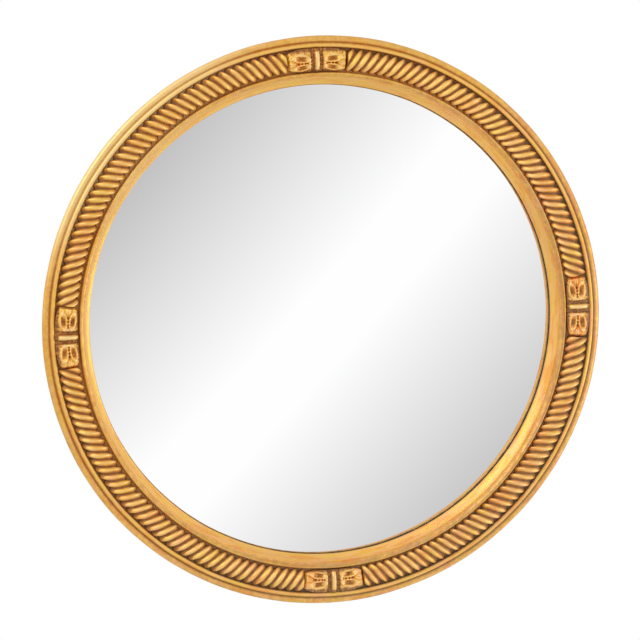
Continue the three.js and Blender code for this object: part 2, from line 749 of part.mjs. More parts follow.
// At rest the ring hangs folded over its strap, tilted back by what the strap needs.
const bowRadius = RING_WIDTH / 2;
const bowOverStrap = RING_SIDE + Math.sqrt(bowRadius ** 2 - (STRAP_WIDTH / 2) ** 2);
const wireNeeds = hingeHeight - strapBack + RING_WIRE_DIAMETER / 2 + SEAT_GAP;
const ringTilt = Math.asin(wireNeeds / bowOverStrap);

function hangerRing() {
  const radius = RING_WIRE_DIAMETER / 2;
  const circle = new THREE.Shape(
    evenAngles(WIRE_FACETS, 0).map((a) => new THREE.Vector2(radius * cosine(a), radius * sine(a))),
  );
  const wire = new THREE.ExtrudeGeometry(circle, { steps: WIRE_STEPS, extrudePath: new WireLine() });
  return weld(wire);
}

const strapGeometry = strapHanger();
const ringGeometry = hangerRing();
const hangerScrewGeometry = panHeadScrew();
for (const hanger of hangers) {
  const group = hangerGroup(hanger);
  mirror.add(group);
  addPiece(`strap_hanger_${hanger.side}`, strapGeometry, brass, group).position.y = HINGE_OFFSET;
  strapHoles.forEach((distance, i) => {
    const name = `hanger_screw_${hanger.side}_${i + 1}`;
    const screw = addPiece(name, hangerScrewGeometry, steel, group);
    screw.position.set(0, HINGE_OFFSET - distance, strapBack - SEAT_GAP);
  });
  const ring = addPiece(`hanger_ring_${hanger.side}`, ringGeometry, brass, group);
  ring.position.set(0, HINGE_OFFSET, hingeHeight);
  ring.rotation.x = ringTilt;
}

// ---- Felt bumpers -----------------------------------------------------------------

function bumper() {
  const radius = BUMPER_DIAMETER / 2;
  const back = -SEAT_GAP - BUMPER_THICKNESS;
  const profile = [
    new THREE.Vector2(0, -SEAT_GAP),
    new THREE.Vector2(radius, -SEAT_GAP),
    new THREE.Vector2(radius, back + BUMPER_ROUNDING),
    new THREE.Vector2(radius - BUMPER_ROUNDING, back),
    new THREE.Vector2(0, back),
  ];
  return turned(profile, BUMPER_FACETS);
}

const bumperGeometry = bumper();
const bumpers = { wall_bumper_right: 270 + BUMPER_ANGLE, wall_bumper_left: 270 - BUMPER_ANGLE };
for (const [name, angle] of Object.entries(bumpers)) {
  const pad = addPiece(name, bumperGeometry, blackFelt);
  pad.position.set(backMiddleRadius * cosine(angle), backMiddleRadius * sine(angle), 0);
}

export default mirror;
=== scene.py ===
"""Round gilt wall mirror: a turned and gilded frame with a rope band and four leaf clasps,
a convex silvered glass, and a screwed plywood back with two strap hangers.

Sizes are in metres. Each piece is drawn as seen from the front, x to the right, y up and
z forwards from the plane of the frame's back, and is then stood up so that +Z is up and
the glass faces -Y.
"""

import json
import math

import bmesh
import bpy
import numpy as np
from mathutils import Matrix, Quaternion, Vector, noise


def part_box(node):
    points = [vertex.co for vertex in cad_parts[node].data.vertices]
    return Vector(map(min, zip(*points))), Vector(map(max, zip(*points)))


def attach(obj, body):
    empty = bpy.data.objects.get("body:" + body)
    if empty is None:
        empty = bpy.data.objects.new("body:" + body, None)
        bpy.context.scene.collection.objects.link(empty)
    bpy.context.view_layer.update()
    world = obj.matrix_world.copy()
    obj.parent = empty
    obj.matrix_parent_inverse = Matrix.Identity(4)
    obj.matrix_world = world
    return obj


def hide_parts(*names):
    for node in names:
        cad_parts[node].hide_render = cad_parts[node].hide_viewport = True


bl_info = {
    "name": "Convex Gilt Mirror",
    "version": (1, 0, 0),
    "blender": (4, 5, 0),
    "location": "View3D > Sidebar > Mirror",
    "description": "Builds a round gilt mirror with a rope band, leaf clasps and a convex glass",
    "category": "Add Mesh",
}

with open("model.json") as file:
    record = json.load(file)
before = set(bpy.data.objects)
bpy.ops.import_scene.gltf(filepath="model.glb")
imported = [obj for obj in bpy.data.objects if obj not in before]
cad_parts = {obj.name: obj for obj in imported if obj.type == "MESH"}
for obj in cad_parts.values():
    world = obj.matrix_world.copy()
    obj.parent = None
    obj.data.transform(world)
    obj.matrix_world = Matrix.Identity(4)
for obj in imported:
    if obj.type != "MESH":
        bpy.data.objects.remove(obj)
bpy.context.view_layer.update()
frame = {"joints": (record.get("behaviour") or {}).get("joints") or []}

STAND_UP = Matrix.Rotation(math.pi / 2, 4, "X")
RING_LOW, RING_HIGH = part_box("frame_ring")
GLASS_LOW, GLASS_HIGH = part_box("mirror_glass")
PANEL_LOW, PANEL_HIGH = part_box("back_panel")
BUMPER_LOW, BUMPER_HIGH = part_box("wall_bumper_right")
SCREW_LOW, SCREW_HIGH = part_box("panel_screw_1")
HINGES = {joint["child"].removeprefix("ring_"): joint for joint in frame["joints"]}
WELD = 1e-6  # points nearer to each other than this are one


def srgb(red, green, blue):
    """The linear colour of a screen colour given in 0 to 255."""
    shares = (red / 255, green / 255, blue / 255)
    return tuple(((c + 0.055) / 1.055) ** 2.4 if c > 0.04 else c / 12.92 for c in shares)


def length(name, description, default):
    """A property that holds a length in metres."""
    return bpy.props.FloatProperty(
        name=name, description=description, default=default, min=0.0, precision=5, unit="LENGTH"
    )


def angle(name, description, degrees):
    """A property that holds an angle."""
    return bpy.props.FloatProperty(
        name=name, description=description, default=math.radians(degrees), subtype="ANGLE"
    )


def share(name, description, default, top=1.0):
    """A property that holds a plain number from 0 upwards."""
    return bpy.props.FloatProperty(name=name, description=description, default=default, min=0.0, max=top)


def count(name, description, default):
    """A property that holds a whole number."""
    return bpy.props.IntProperty(name=name, description=description, default=default, min=1)


def tint(name, description, default):
    """A property that holds a colour."""
    return bpy.props.FloatVectorProperty(
        name=name, description=description, default=default, size=3, min=0.0, max=1.0, subtype="COLOR"
    )


# ---- Settings ---------------------------------------------------------------------


class MouldingSettings(bpy.types.PropertyGroup):
    """Widths and heights of the turned frame's mouldings."""

    outer_radius: length("Outer radius", "Half the frame's diameter", RING_HIGH.x)
    outer_bead: length("Outer bead", "Radius of the bead on the outer edge", 0.0042)
    rim_bead: length("Rim bead", "Radius of the small bead inside it", 0.0026)
    channel_depth: length("Channel depth", "Rope channel's floor below the rim bead's centre", 0.002)
    channel_batter: length("Channel batter", "Lean of the channel's inner wall", 0.0006)
    roll: length("Sight roll", "Width of the roll inside the rope", 0.0056)
    roll_edge: length("Roll edge", "Rounding of the roll towards the rope", 0.0012)
    roll_drop: length("Roll drop", "From the roll's top to the head of the slope", 0.0074)
    quirk: length("Quirk", "Width of the quirk at the foot of the roll", 0.0005)
    slope: length("Slope", "Width of the slope down to the glass", 0.0067)
    slope_bulge: length("Slope bulge", "Swell at the middle of the slope", 0.0006)
    lip_land: length("Lip land", "Narrow land at the foot of the slope", 0.0006)
    lip_drop: length("Lip drop", "From the widest line down to the lip", 0.007)
    lip_thickness: length("Lip thickness", "From the lip's front to the glass's seat", 0.002)
    widest: length("Widest line", "Height of the outer bead's middle", 0.025)
    rim_rise: length("Rim rise", "Top of the rim bead above the widest line", 0.0072)
    back_taper: length("Back taper", "Back edge inside the widest line", 0.011)
    back_edge: length("Back edge", "Height of the straight back edge", 0.005)
    side_hollow: length("Side hollow", "Depth of the hollow in the side", 0.0024)
    ledge: length("Ledge", "Width of the ledge that the back panel lies on", 0.008)
    unevenness: length("Unevenness", "How far hand work strays from the true turning", 0.0005)
    turns: count("Steps", "Steps round the ring", 288)
    segments: count("Segments", "Lengths of wood that the ring is glued up from", 8)


class OrnamentSettings(bpy.types.PropertyGroup):
    """The rope band and the leaf clasps that bind it."""

    rope_width: length("Rope width", "Width of the rope band", 0.0246)
    rope_height: length("Rope height", "Crest of the rope above its base", 0.0108)
    strands: count("Strands", "Strands round the whole circle", 192)
    strand_depth: length("Strand depth", "Depth of the valleys between strands", 0.0031)
    twist: angle("Twist", "How far a strand runs round the ring from edge to edge", 3.25)
    clasp_length: length("Clasp length", "Length of a clasp along the rope", 0.066)
    bar_width: length("Bar width", "Width of a clasp's cross bar", 0.005)
    bar_groove: length("Bar groove", "Width of the groove between the bar and a leaf", 0.0035)
    gap: length("Gap", "Between two pieces that touch", 0.0003)


class GlassSettings(bpy.types.PropertyGroup):
    """The convex glass and its bedding."""

    curve: length("Curve", "Radius of the glass's curve", 1.2)
    thickness: length("Thickness", "Thickness of the glass", 0.004)
    strip: length("Strip", "Thickness of the felt strip", 0.0015)
    strip_width: length("Strip width", "Width of the felt strip", 0.0024)
    block_length: length("Block length", "Length of a glazing block", 0.03)
    block_width: length("Block width", "Width of a glazing block", 0.01)


class BackSettings(bpy.types.PropertyGroup):
    """Screws, hangers and bumpers on the back."""

    shank: length("Shank", "Diameter of the screws", 0.0034)
    head: length("Head", "Diameter of a countersunk head", 0.007)
    head_height: length("Head height", "Height of a countersunk head", 0.002)
    pan_head: length("Pan head", "Diameter of a hanger screw's head", 0.0066)
    pan_height: length("Pan height", "Height of a hanger screw's head", 0.0019)
    pan_screw: length("Hanger screw", "Length of a hanger screw under its head", 0.012)
    strap_length: length("Strap length", "From the hinge line to the strap's end", 0.043)
    strap_width: length("Strap width", "Width of the folded strap", 0.012)
    strap: length("Strap", "Thickness of the strap's two layers", 0.002)
    strap_end: length("Strap end", "Rounding of the strap's end", 0.004)
    near_hole: length("Near hole", "First screw from the hinge line", 0.0205)
    far_hole: length("Far hole", "Second screw from the hinge line", 0.036)
    wire: length("Wire", "Diameter of the ring's wire", 0.0025)
    ring_width: length("Ring width", "Width of a ring at the wire's middle", 0.019)
    ring_side: length("Ring side", "Straight side of a ring", 0.0045)
    ring_corner: length("Ring corner", "Bend at a ring's corners", 0.0022)
    ring_butt: length("Ring butt", "Gap where the bent wire's ends meet", 0.0005)
    bumper_edge: length("Bumper edge", "Rounding of a bumper", 0.001)


class FinishSettings(bpy.types.PropertyGroup):
    """Colours of the finishes."""

    gold: tint("Gold", "Gold leaf", srgb(252, 197, 110))
    warm_gold: tint("Warm gold", "Gold leaf thin over red clay", srgb(246, 160, 70))
    # olive gold also paints light: the yellower tone towards the upper left
    olive_gold: tint("Olive gold", "Gold leaf gone dull", srgb(246, 198, 84))
    rose_gold: tint("Rose gold", "Gold leaf of a redder batch", srgb(250, 180, 132))
    # pale gold serves both the burnished leaf on the crests and painted highlights on the crests and the
    # upper left edge
    pale_gold: tint("Pale gold", "Burnished gold on the crests", srgb(255, 228, 164))
    bole: tint("Bole", "Red clay where the leaf is worn through", srgb(170, 84, 42))
    # amber and wash darken the hollows: partly the gilding's patina, partly painted shade
    amber: tint("Amber", "Thin brown wash over gold", srgb(188, 118, 46))
    wash: tint("Wash and shade", "Dark wash in the hollows", srgb(116, 70, 32))
    # the grey tone that the hollows take towards the lower right
    dust: tint("Greying", "Old dust in the channel", srgb(142, 132, 100))
    silver: tint("Silver", "The glass's silvering", srgb(252, 252, 253))
    backing: tint("Backing", "Paint on the back of the glass", srgb(70, 68, 66))
    felt: tint("Felt", "Black felt", srgb(30, 28, 27))
    ochre: tint("Ochre", "Ochre wash on the frame's back", srgb(196, 150, 88))
    pine: tint("Pine", "Sawn softwood", srgb(214, 176, 122))
    plywood: tint("Plywood", "Face veneer of the back panel", srgb(178, 132, 88))
    dark_grain: tint("Dark grain", "Late wood in every grain", srgb(112, 74, 42))
    brass: tint("Brass", "Dulled brass", srgb(196, 152, 76))
    tarnish: tint("Tarnish", "Tarnish on the brass", srgb(92, 66, 34))
    steel: tint("Steel", "Zinc-plated steel", srgb(176, 176, 172))


class StudioSettings(bpy.types.PropertyGroup):
    """The camera's place and the light."""

    azimuth: angle("Azimuth", "Camera to the left of the mirror's axis", -12.9167)
    elevation: angle("Elevation", "Camera above the mirror's middle", 7.2454)
    roll: angle("Roll", "Turn of the picture", 1.85)
    distance: length("Distance", "From the camera to the mirror", 6.0)
    lens: bpy.props.FloatProperty(name="Lens", description="Focal length", default=316.86, unit="CAMERA")
    target: bpy.props.FloatVectorProperty(
        name="Target", description="Point in the middle of the picture", default=(-0.0038, -0.025, 0.0011),
        subtype="TRANSLATION",
    )
    floor_drop: length("Floor", "Floor below the mirror's middle", 0.95)
    floor_radius: length("Floor radius", "Reach of the floor", 2.4)
    key_power: share("Key light", "Power of the large soft light", 24.5, 1000.0)
    fill_power: share("Fill light", "Power of the light opposite", 14.0, 1000.0)
    ambient: share("Ambient", "Light from all round", 0.78)


# ---- Lines of the moulding ----------------------------------------------------------

OUTER_BEAD_ARC = (math.radians(-50), math.radians(140))
OUTER_BEAD_END = math.radians(131)  # where the drawn bead stops, so that the groove is soft
RIM_BEAD_START = 0.12
GLASS_CLEARANCE = 0.0015
CAD_FLAT = math.cos(math.radians(2.5))  # nearness of a facet's middle, on the plain ring of 72 facets


class Lines:
    """Radii and heights that follow from the moulding's widths."""

    def __init__(self, scene):
        m = scene.mirror_moulding
        o = scene.mirror_ornament
        g = scene.mirror_glass
        self.outer_bead = m.outer_radius - m.outer_bead
        self.rim_groove = self.outer_bead + m.outer_bead * math.cos(OUTER_BEAD_ARC[1])
        self.rim_bead = self.rim_groove - m.rim_bead
        self.rim_height = m.widest + m.rim_rise - m.rim_bead
        self.channel_outer = self.rim_bead - m.rim_bead
        self.channel_floor = self.rim_height - m.channel_depth
        self.channel_inner = self.channel_outer * CAD_FLAT - o.rope_width - 2 * o.gap
        self.rope = self.channel_inner + o.gap + o.rope_width / 2
        self.rope_base = self.channel_floor + o.gap
        self.roll_outer = self.channel_inner - m.channel_batter
        self.roll_top = -RING_LOW.y
        self.slope_head = self.roll_outer - m.roll - m.quirk
        self.slope_head_height = self.roll_top - m.roll_drop
        self.slope_foot = self.slope_head - m.slope
        self.lip_height = m.widest - m.lip_drop
        self.sight = self.slope_foot - m.lip_land
        self.seat = self.lip_height - m.lip_thickness
        self.glass = GLASS_HIGH.x
        self.rebate = self.glass + GLASS_CLEARANCE
        self.glass_rim = self.seat - g.strip - 2 * o.gap
        self.ledge = self.rebate + m.ledge
        self.ledge_height = PANEL_HIGH.y - PANEL_LOW.y + o.gap
        self.back_edge = m.outer_radius - m.back_taper
        self.back_middle = (self.ledge + self.back_edge) / 2


# ---- Mesh helpers -------------------------------------------------------------------


def arc(centre, height, radius, start, end, steps, upwards=None):
    """Points on an arc of a section, ends included: round, or with its own radius upwards."""
    upwards = upwards or radius
    turns = [start + (end - start) * i / steps for i in range(steps + 1)]
    return [(centre + radius * math.cos(t), height + upwards * math.sin(t)) for t in turns]


def bow(start, end, bulge, steps):
    """A shallow curve between two section points that bows sideways by bulge."""
    first, last = Vector(start), Vector(end)
    along = (last - first).normalized()
    control = (first + last) / 2 + Vector((along.y, -along.x)) * 2 * bulge
    points = []
    for i in range(steps + 1):
        t = i / steps
        point = first * (1 - t) ** 2 + control * 2 * t * (1 - t) + last * t**2
        points.append((point.x, point.y))
    return points


def turn_section(bm, points, steps):
    """Turns a line of (radius, height) points round the z axis and gives the new faces.

    The material reads the relief, a point's third value, and how far across the section it lies."""
    before = set(bm.faces)
    layers = bm.verts.layers.float
    relief = layers.get("relief") or layers.new("relief")
    across = layers.get("across") or layers.new("across")
    verts = [bm.verts.new((radius, 0.0, height)) for radius, height, *_ in points]
    for i, (vert, point) in enumerate(zip(verts, points)):
        vert[relief] = point[2] if len(point) > 2 else 0.5
        vert[across] = verts[i - 1][across] + (vert.co - verts[i - 1].co).length if i else 0.0
    edges = [bm.edges.new(pair) for pair in zip(verts, verts[1:])]
    bmesh.ops.spin(
        bm, geom=verts + edges, cent=(0, 0, 0), axis=(0, 0, 1), dvec=(0, 0, 0),
        angle=2 * math.pi, steps=steps, use_merge=True,
    )
    return [face for face in bm.faces if face not in before]


def turned(points, steps):
    """A closed body from a section that ends on the z axis or closes on itself."""
    bm = bmesh.new()
    turn_section(bm, points, steps)
    close_up(bm)
    return bm


def close_up(bm):
    """Joins doubled points, drops empty faces and turns every face outwards."""
    bmesh.ops.remove_doubles(bm, verts=bm.verts, dist=WELD)
    bmesh.ops.dissolve_degenerate(bm, edges=bm.edges, dist=WELD)
    bmesh.ops.recalc_face_normals(bm, faces=bm.faces)


def fill_holes(bm):
    """Closes every open end with one face."""
    bmesh.ops.holes_fill(bm, edges=[e for e in bm.edges if e.is_boundary], sides=0)


def points_in(geometry):
    """The points among what an operator made."""
    return [part for part in geometry if isinstance(part, bmesh.types.BMVert)]


def edges_in(geometry):
    """The edges among what an operator made."""
    return [part for part in geometry if isinstance(part, bmesh.types.BMEdge)]


def mesh_of(name, bm):
    """A mesh of a drawn body, which it uses up."""
    mesh = bpy.data.meshes.new(name)
    bm.to_mesh(mesh)
    bm.free()
    return mesh


def show(name, data):
    """A new object in the scene that holds a mesh, a lamp or a camera."""
    shown = bpy.data.objects.new(name, data)
    bpy.context.scene.collection.objects.link(shown)
    return shown


def soften(bm, sharp_from):
    """Shades the faces smooth, and keeps edges that turn by more than an angle sharp."""
    for face in bm.faces:
        face.smooth = True
    for edge in bm.edges:
        edge.smooth = len(edge.link_faces) == 2 and edge.calc_face_angle() < sharp_from


def prism(outline, depth):
    """A flat outline of (x, y) points at z = 0, raised to depth."""
    bm = bmesh.new()
    face = bm.faces.new([bm.verts.new((x, y, 0.0)) for x, y in outline])
    raised = bmesh.ops.extrude_face_region(bm, geom=[face])["geom"]
    bmesh.ops.translate(bm, verts=points_in(raised), vec=(0, 0, depth))
    close_up(bm)
    return bm


def ease(bm, width, least_angle=math.radians(40), segments=2):
    """Rounds the sharp edges of a body."""
    sharp = [e for e in bm.edges if len(e.link_faces) == 2 and e.calc_face_angle() > least_angle]
    bmesh.ops.bevel(
        bm, geom=sharp, offset=width, segments=segments, profile=0.5, affect="EDGES", material=-1,
        clamp_overlap=True,
    )


def cut(bm, cutter, operation="DIFFERENCE"):
    """Cuts one closed body by another, and uses both up."""
    objects = [show("cut", mesh_of("cut", body)) for body in (bm, cutter)]
    modifier = objects[0].modifiers.new("cut", "BOOLEAN")
    modifier.operation = operation
    modifier.solver = "EXACT"
    modifier.object = objects[1]
    result = bmesh.new()
    result.from_object(objects[0], bpy.context.evaluated_depsgraph_get())
    for body in objects:
        bpy.data.meshes.remove(body.data)
    close_up(result)
    return result


RELIEF_ROUNDS = 3  # rounds of smoothing that give a point's surroundings
RELIEF_DEPTH = 0.0002  # height over them that counts as a full crest


def mark_relief(mesh):
    """Adds to the drawn relief how far each point stands over or under its surroundings."""
    total = len(mesh.vertices)
    place = np.empty(total * 3, np.float32)
    mesh.vertices.foreach_get("co", place)
    place = place.reshape(-1, 3).astype(float)
    normal = np.empty(total * 3, np.float32)
    mesh.vertices.foreach_get("normal", normal)
    normal = normal.reshape(-1, 3)
    ends = np.empty(len(mesh.edges) * 2, np.int32)
    mesh.edges.foreach_get("vertices", ends)
    first, second = ends.reshape(-1, 2).T
    degree = np.maximum(np.bincount(ends, minlength=total), 1)[:, None]
    drawn = np.full(total, 0.5, np.float32)
    known = mesh.attributes.get("relief")
    if known:
        known.data.foreach_get("value", drawn)
    else:
        known = mesh.attributes.new("relief", "FLOAT", "POINT")
    smooth = place.copy()
    for _ in range(RELIEF_ROUNDS):
        near = [
            np.bincount(first, smooth[second, k], total) + np.bincount(second, smooth[first, k], total)
            for k in range(3)
        ]
        smooth = (smooth + np.stack(near, -1) / degree) / 2
    relief = drawn.astype(float) + 0.5 * ((place - smooth) * normal).sum(1) / RELIEF_DEPTH
    known.data.foreach_set("value", np.clip(relief, 0, 1).astype(np.float32))


def add_piece(name, bm, materials, replaces, body="mirror", sharp_from=35, worn=False):
    """Makes a finished piece of a drawn body, which it uses up, and stands it up.

    Edges that turn by more than sharp_from degrees stay sharp, and a worn piece has its relief marked."""
    soften(bm, math.radians(sharp_from))
    bm.transform(STAND_UP)
    mesh = mesh_of(name, bm)
    for material in materials:
        mesh.materials.append(material)
    if worn:
        mark_relief(mesh)
    piece = show(name, mesh)
    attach(piece, body)
    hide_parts(replaces)
    return piece


# ---- Shader helpers -----------------------------------------------------------------


class Nodes:
    """Adds nodes to a tree. A value that is a socket is linked, and any other is set."""

    def __init__(self, tree):
        self.tree = tree

    def add(self, kind, values=None, **settings):
        node = self.tree.nodes.new("ShaderNode" + kind)
        for name, value in settings.items():
            setattr(node, name, value)
        for key, value in (values or {}).items():
            self.put(node.inputs[key], value)
        return node

    def put(self, socket, value):
        if isinstance(value, bpy.types.NodeSocket):
            self.tree.links.new(value, socket)
        elif socket.type == "RGBA":
            socket.default_value = (*value, 1.0)
        else:
            socket.default_value = value

    def math(self, operation, first, second=0.0):
        return self.add("Math", {0: first, 1: second}, operation=operation).outputs[0]

    def times(self, first, second):
        return self.math("MULTIPLY", first, second)

    def step(self, value, low, high, bottom=0.0, top=1.0):
        """A smooth step of a value from low to high."""
        ends = {"Value": value, "From Min": low, "From Max": high, "To Min": bottom, "To Max": top}
        return self.add("MapRange", ends, interpolation_type="SMOOTHSTEP").outputs[0]

    def mix(self, factor, first, second):
        """A colour between two colours."""
        return self.add("Mix", {0: factor, 6: first, 7: second}, data_type="RGBA").outputs[2]

    def noise(self, vector, scale, detail=2.0, roughness=0.5):
        values = {"Vector": vector, "Scale": scale, "Detail": detail, "Roughness": roughness}
        return self.add("TexNoise", values).outputs[0]

    def stretched(self, vector, scale, turn=(0.0, 0.0, 0.0)):
        return self.add("Mapping", {"Vector": vector, "Scale": scale, "Rotation": turn}).outputs[0]

    def group(self, tree, values):
        """Places a node group with its values, and gives its outputs."""
        return self.add("Group", values, node_tree=tree).outputs

    def object_place(self):
        return self.add("TexCoord").outputs["Object"]

    def bump(self, height, distance):
        return self.add("Bump", {"Height": height, "Distance": distance, "Strength": 1.0}).outputs[0]


def new_group(name, inputs, outputs):
    """An empty shader node group: its tree, its nodes and its input's sockets."""
    tree = bpy.data.node_groups.new(name, "ShaderNodeTree")
    for label, kind in inputs:
        tree.interface.new_socket(name=label, in_out="INPUT", socket_type="NodeSocket" + kind)
    for label, kind in outputs:
        tree.interface.new_socket(name=label, in_out="OUTPUT", socket_type="NodeSocket" + kind)
    given = tree.nodes.new("NodeGroupInput")
    return tree, Nodes(tree), given.outputs


def hand_out(tree, **values):
    """Links a group's results to its outputs."""
    result = tree.nodes.new("NodeGroupOutput")
    for label, value in values.items():
        tree.links.new(value, result.inputs[label])


# Patterns in the gilding, in waves to the metre
BROAD_SCALE = 34.0
PATCH_SCALE = 48.0
BLOTCH_SCALE = 170.0
GRAIN_SCALE = 1100.0
STREAKING = 4.5  # how much quicker the leaf's streaks change across the moulding than round it
BLOTCH_REACH = 0.22  # how far blotches shift the relief that wear and wash follow
# Relief at which rubbed crests with painted highlight, wear, wash with painted shade, and greying begin and
# are full
RIDGE_RELIEF = (0.56, 0.9)
WORN_RELIEF = (0.6, 0.8)
THIN_WASH_AND_SHADE_RELIEF = (0.5, 0.26)
DARK_WASH_AND_SHADE_RELIEF = (0.3, 0.1)
GREYING_RELIEF = (0.47, 0.28)
# Places towards the lower right, which run from about -0.78 to 0.78
LOWER_RIGHT = (1.8, 0.0, -1.8)
KEY_LIGHT_CORNER = (0.35, -0.6)
EDGE_HIGHLIGHT_CORNER = (-0.61, -0.74)
GREYING_CORNER = (-0.5, 0.7)


def gilt_patina():
    """Gold leaf over red clay: uneven leaf, rubbed crests with painted highlights, wash with painted shade
    in the hollows, painted light towards the upper left and greying towards the lower right.
    """
    if "Gilt patina" in bpy.data.node_groups:
        return bpy.data.node_groups["Gilt patina"]
    colours = ["Gold", "Warm", "Olive", "Rose", "Pale", "Bole", "Amber", "Wash and shade", "Greying"]
    amounts = ["Relief", "Across", "Wash and shade amount", "Rub and highlight amount", "Bole amount", "Greying amount", "Edge highlight amount"]
    tree, n, given = new_group(
        "Gilt patina",
        [(label, "Color") for label in colours] + [(label, "Float") for label in amounts],
        [("Color", "Color"), ("Metallic", "Float"), ("Roughness", "Float"), ("Height", "Float")],
    )
    place = n.object_place()
    # brushed on along the turning: what changes quickly across the section changes slowly round it
    sweep = n.add("CombineXYZ", {"Y": given["Across"]}).outputs[0]
    swept = n.stretched(sweep, (0.0, STREAKING, 0.0))
    drawn_out = n.stretched(place, (1.0, 0.6, 1.0))
    along = n.add("VectorMath", {0: drawn_out, 1: swept}, operation="ADD").outputs[0]
    broad = n.noise(along, BROAD_SCALE, 3.0, 0.6)
    patch = n.noise(n.stretched(along, (1.0, 1.0, 1.0), (0.0, 0.9, 0.0)), PATCH_SCALE, 3.0, 0.6)
    blotch = n.noise(place, BLOTCH_SCALE, 3.0, 0.6)
    fine = n.noise(place, GRAIN_SCALE, 3.0, 0.6)
    uneven = n.math("ADD", given["Relief"], n.times(n.math("SUBTRACT", blotch, 0.5), BLOTCH_REACH))
    # the leaf's own colours
    colour = n.mix(n.times(n.step(broad, 0.47, 0.6), 0.7), given["Gold"], given["Warm"])
    colour = n.mix(n.times(n.step(patch, 0.52, 0.62), 0.8), colour, given["Olive"])
    colour = n.mix(n.times(n.step(patch, 0.46, 0.38), 0.5), colour, given["Rose"])
    # painted light: yellower towards the upper left, the side that the key light comes from
    corner = n.add("VectorMath", {0: place, 1: LOWER_RIGHT}, operation="DOT_PRODUCT").outputs["Value"]
    colour = n.mix(n.step(corner, *KEY_LIGHT_CORNER, 0.0, 0.38), colour, given["Olive"])
    # crests paler, partly rubbed leaf and partly painted highlight, and here and there worn down to the
    # clay
    ridge = n.step(uneven, *RIDGE_RELIEF)
    colour = n.mix(n.times(ridge, given["Rub and highlight amount"]), colour, given["Pale"])
    worn = n.times(n.step(blotch, 0.6, 0.72), n.step(uneven, *WORN_RELIEF))
    colour = n.mix(n.times(worn, given["Bole amount"]), colour, given["Bole"])
    # thin wash on the way down and a dark one in the bottom: partly the gilding's patina, partly painted
    # shade in the hollows
    thin = n.times(n.step(uneven, *THIN_WASH_AND_SHADE_RELIEF), given["Wash and shade amount"])
    dark = n.times(n.step(uneven, *DARK_WASH_AND_SHADE_RELIEF), given["Wash and shade amount"])
    colour = n.mix(dark, n.mix(thin, colour, given["Amber"]), given["Wash and shade"])
    # painted highlight: paler along the outer edge at the upper left
    colour = n.mix(n.times(n.step(corner, *EDGE_HIGHLIGHT_CORNER), given["Edge highlight amount"]), colour, given["Pale"])
    # greyer in the hollows towards the lower right
    lower_right = n.step(corner, *GREYING_CORNER, 0.15, 1.0)
    greyed = n.times(n.times(n.step(uneven, *GREYING_RELIEF), lower_right), given["Greying amount"])
    greyed = n.times(greyed, n.step(blotch, 0.3, 0.6, 0.5, 1.0))
    colour = n.mix(greyed, colour, given["Greying"])
    dull = n.math("MAXIMUM", n.math("MAXIMUM", n.times(thin, 0.4), dark), greyed)
    metallic = n.step(dull, 0.0, 1.0, 0.55, 0.1)
    rough = n.math("ADD", n.step(dull, 0.0, 1.0, 0.44, 0.68), n.times(n.math("SUBTRACT", fine, 0.5), 0.2))
    height = n.math("ADD", n.times(fine, 0.35), blotch)
    hand_out(tree, Color=colour, Metallic=metallic, Roughness=rough, Height=height)
    return tree


def wood_grain():
    """Straight grain along x of the given place, with pores and a slow change of tone."""
    if "Wood grain" in bpy.data.node_groups:
        return bpy.data.node_groups["Wood grain"]
    tree, n, given = new_group(
        "Wood grain",
        [("Place", "Vector"), ("Light", "Color"), ("Dark", "Color"), ("Depth", "Float")],
        [("Color", "Color"), ("Roughness", "Float"), ("Height", "Float")],
    )
    # the grain sways a little from side to side
    bent = n.noise(n.stretched(given["Place"], (6.0, 22.0, 22.0)), 1.0, 2.0)
    shift = n.add("CombineXYZ", {"Y": n.times(bent, 0.02)}).outputs[0]
    swayed = n.add("VectorMath", {0: given["Place"], 1: shift}, operation="ADD").outputs[0]
    rings = n.noise(n.stretched(swayed, (5.0, 260.0, 260.0)), 1.0, 4.0, 0.6)
    pores = n.noise(n.stretched(swayed, (90.0, 2600.0, 2600.0)), 1.0, 2.0)
    tone = n.noise(given["Place"], 9.0, 2.0)
    dark = n.times(n.step(rings, 0.42, 0.72), given["Depth"])
    colour = n.mix(dark, given["Light"], given["Dark"])
    colour = n.mix(n.times(n.step(pores, 0.6, 0.8), 0.35), colour, given["Dark"])
    colour = n.mix(n.times(n.step(tone, 0.4, 0.7), 0.2), colour, given["Dark"])
    rough = n.step(rings, 0.3, 0.7, 0.66, 0.8)
    height = n.math("SUBTRACT", n.times(rings, 0.6), n.times(pores, 0.5))
    hand_out(tree, Color=colour, Roughness=rough, Height=height)
    return tree


def aged_metal():
    """Dulled metal with tarnish in its hollows and fine scratches."""
    if "Aged metal" in bpy.data.node_groups:
        return bpy.data.node_groups["Aged metal"]
    tree, n, given = new_group(
        "Aged metal",
        [("Metal", "Color"), ("Tarnish", "Color"), ("Relief", "Float"), ("Age", "Float")],
        [("Color", "Color"), ("Roughness", "Float"), ("Height", "Float")],
    )
    place = n.object_place()
    cloud = n.noise(place, 260.0, 4.0, 0.6)
    scratch = n.noise(n.stretched(place, (350.0, 350.0, 5200.0), (0.3, 0.5, 0.2)), 1.0, 2.0)
    hollow = n.step(given["Relief"], 0.5, 0.2)
    stain = n.math("MINIMUM", n.math("ADD", hollow, n.step(cloud, 0.45, 0.7)), 1.0)
    stain = n.times(stain, given["Age"])
    colour = n.mix(stain, given["Metal"], given["Tarnish"])
    rough = n.math("ADD", n.step(stain, 0.0, 1.0, 0.28, 0.55), n.times(scratch, 0.08))
    hand_out(tree, Color=colour, Roughness=rough, Height=n.math("ADD", n.times(scratch, 0.4), cloud))
    return tree


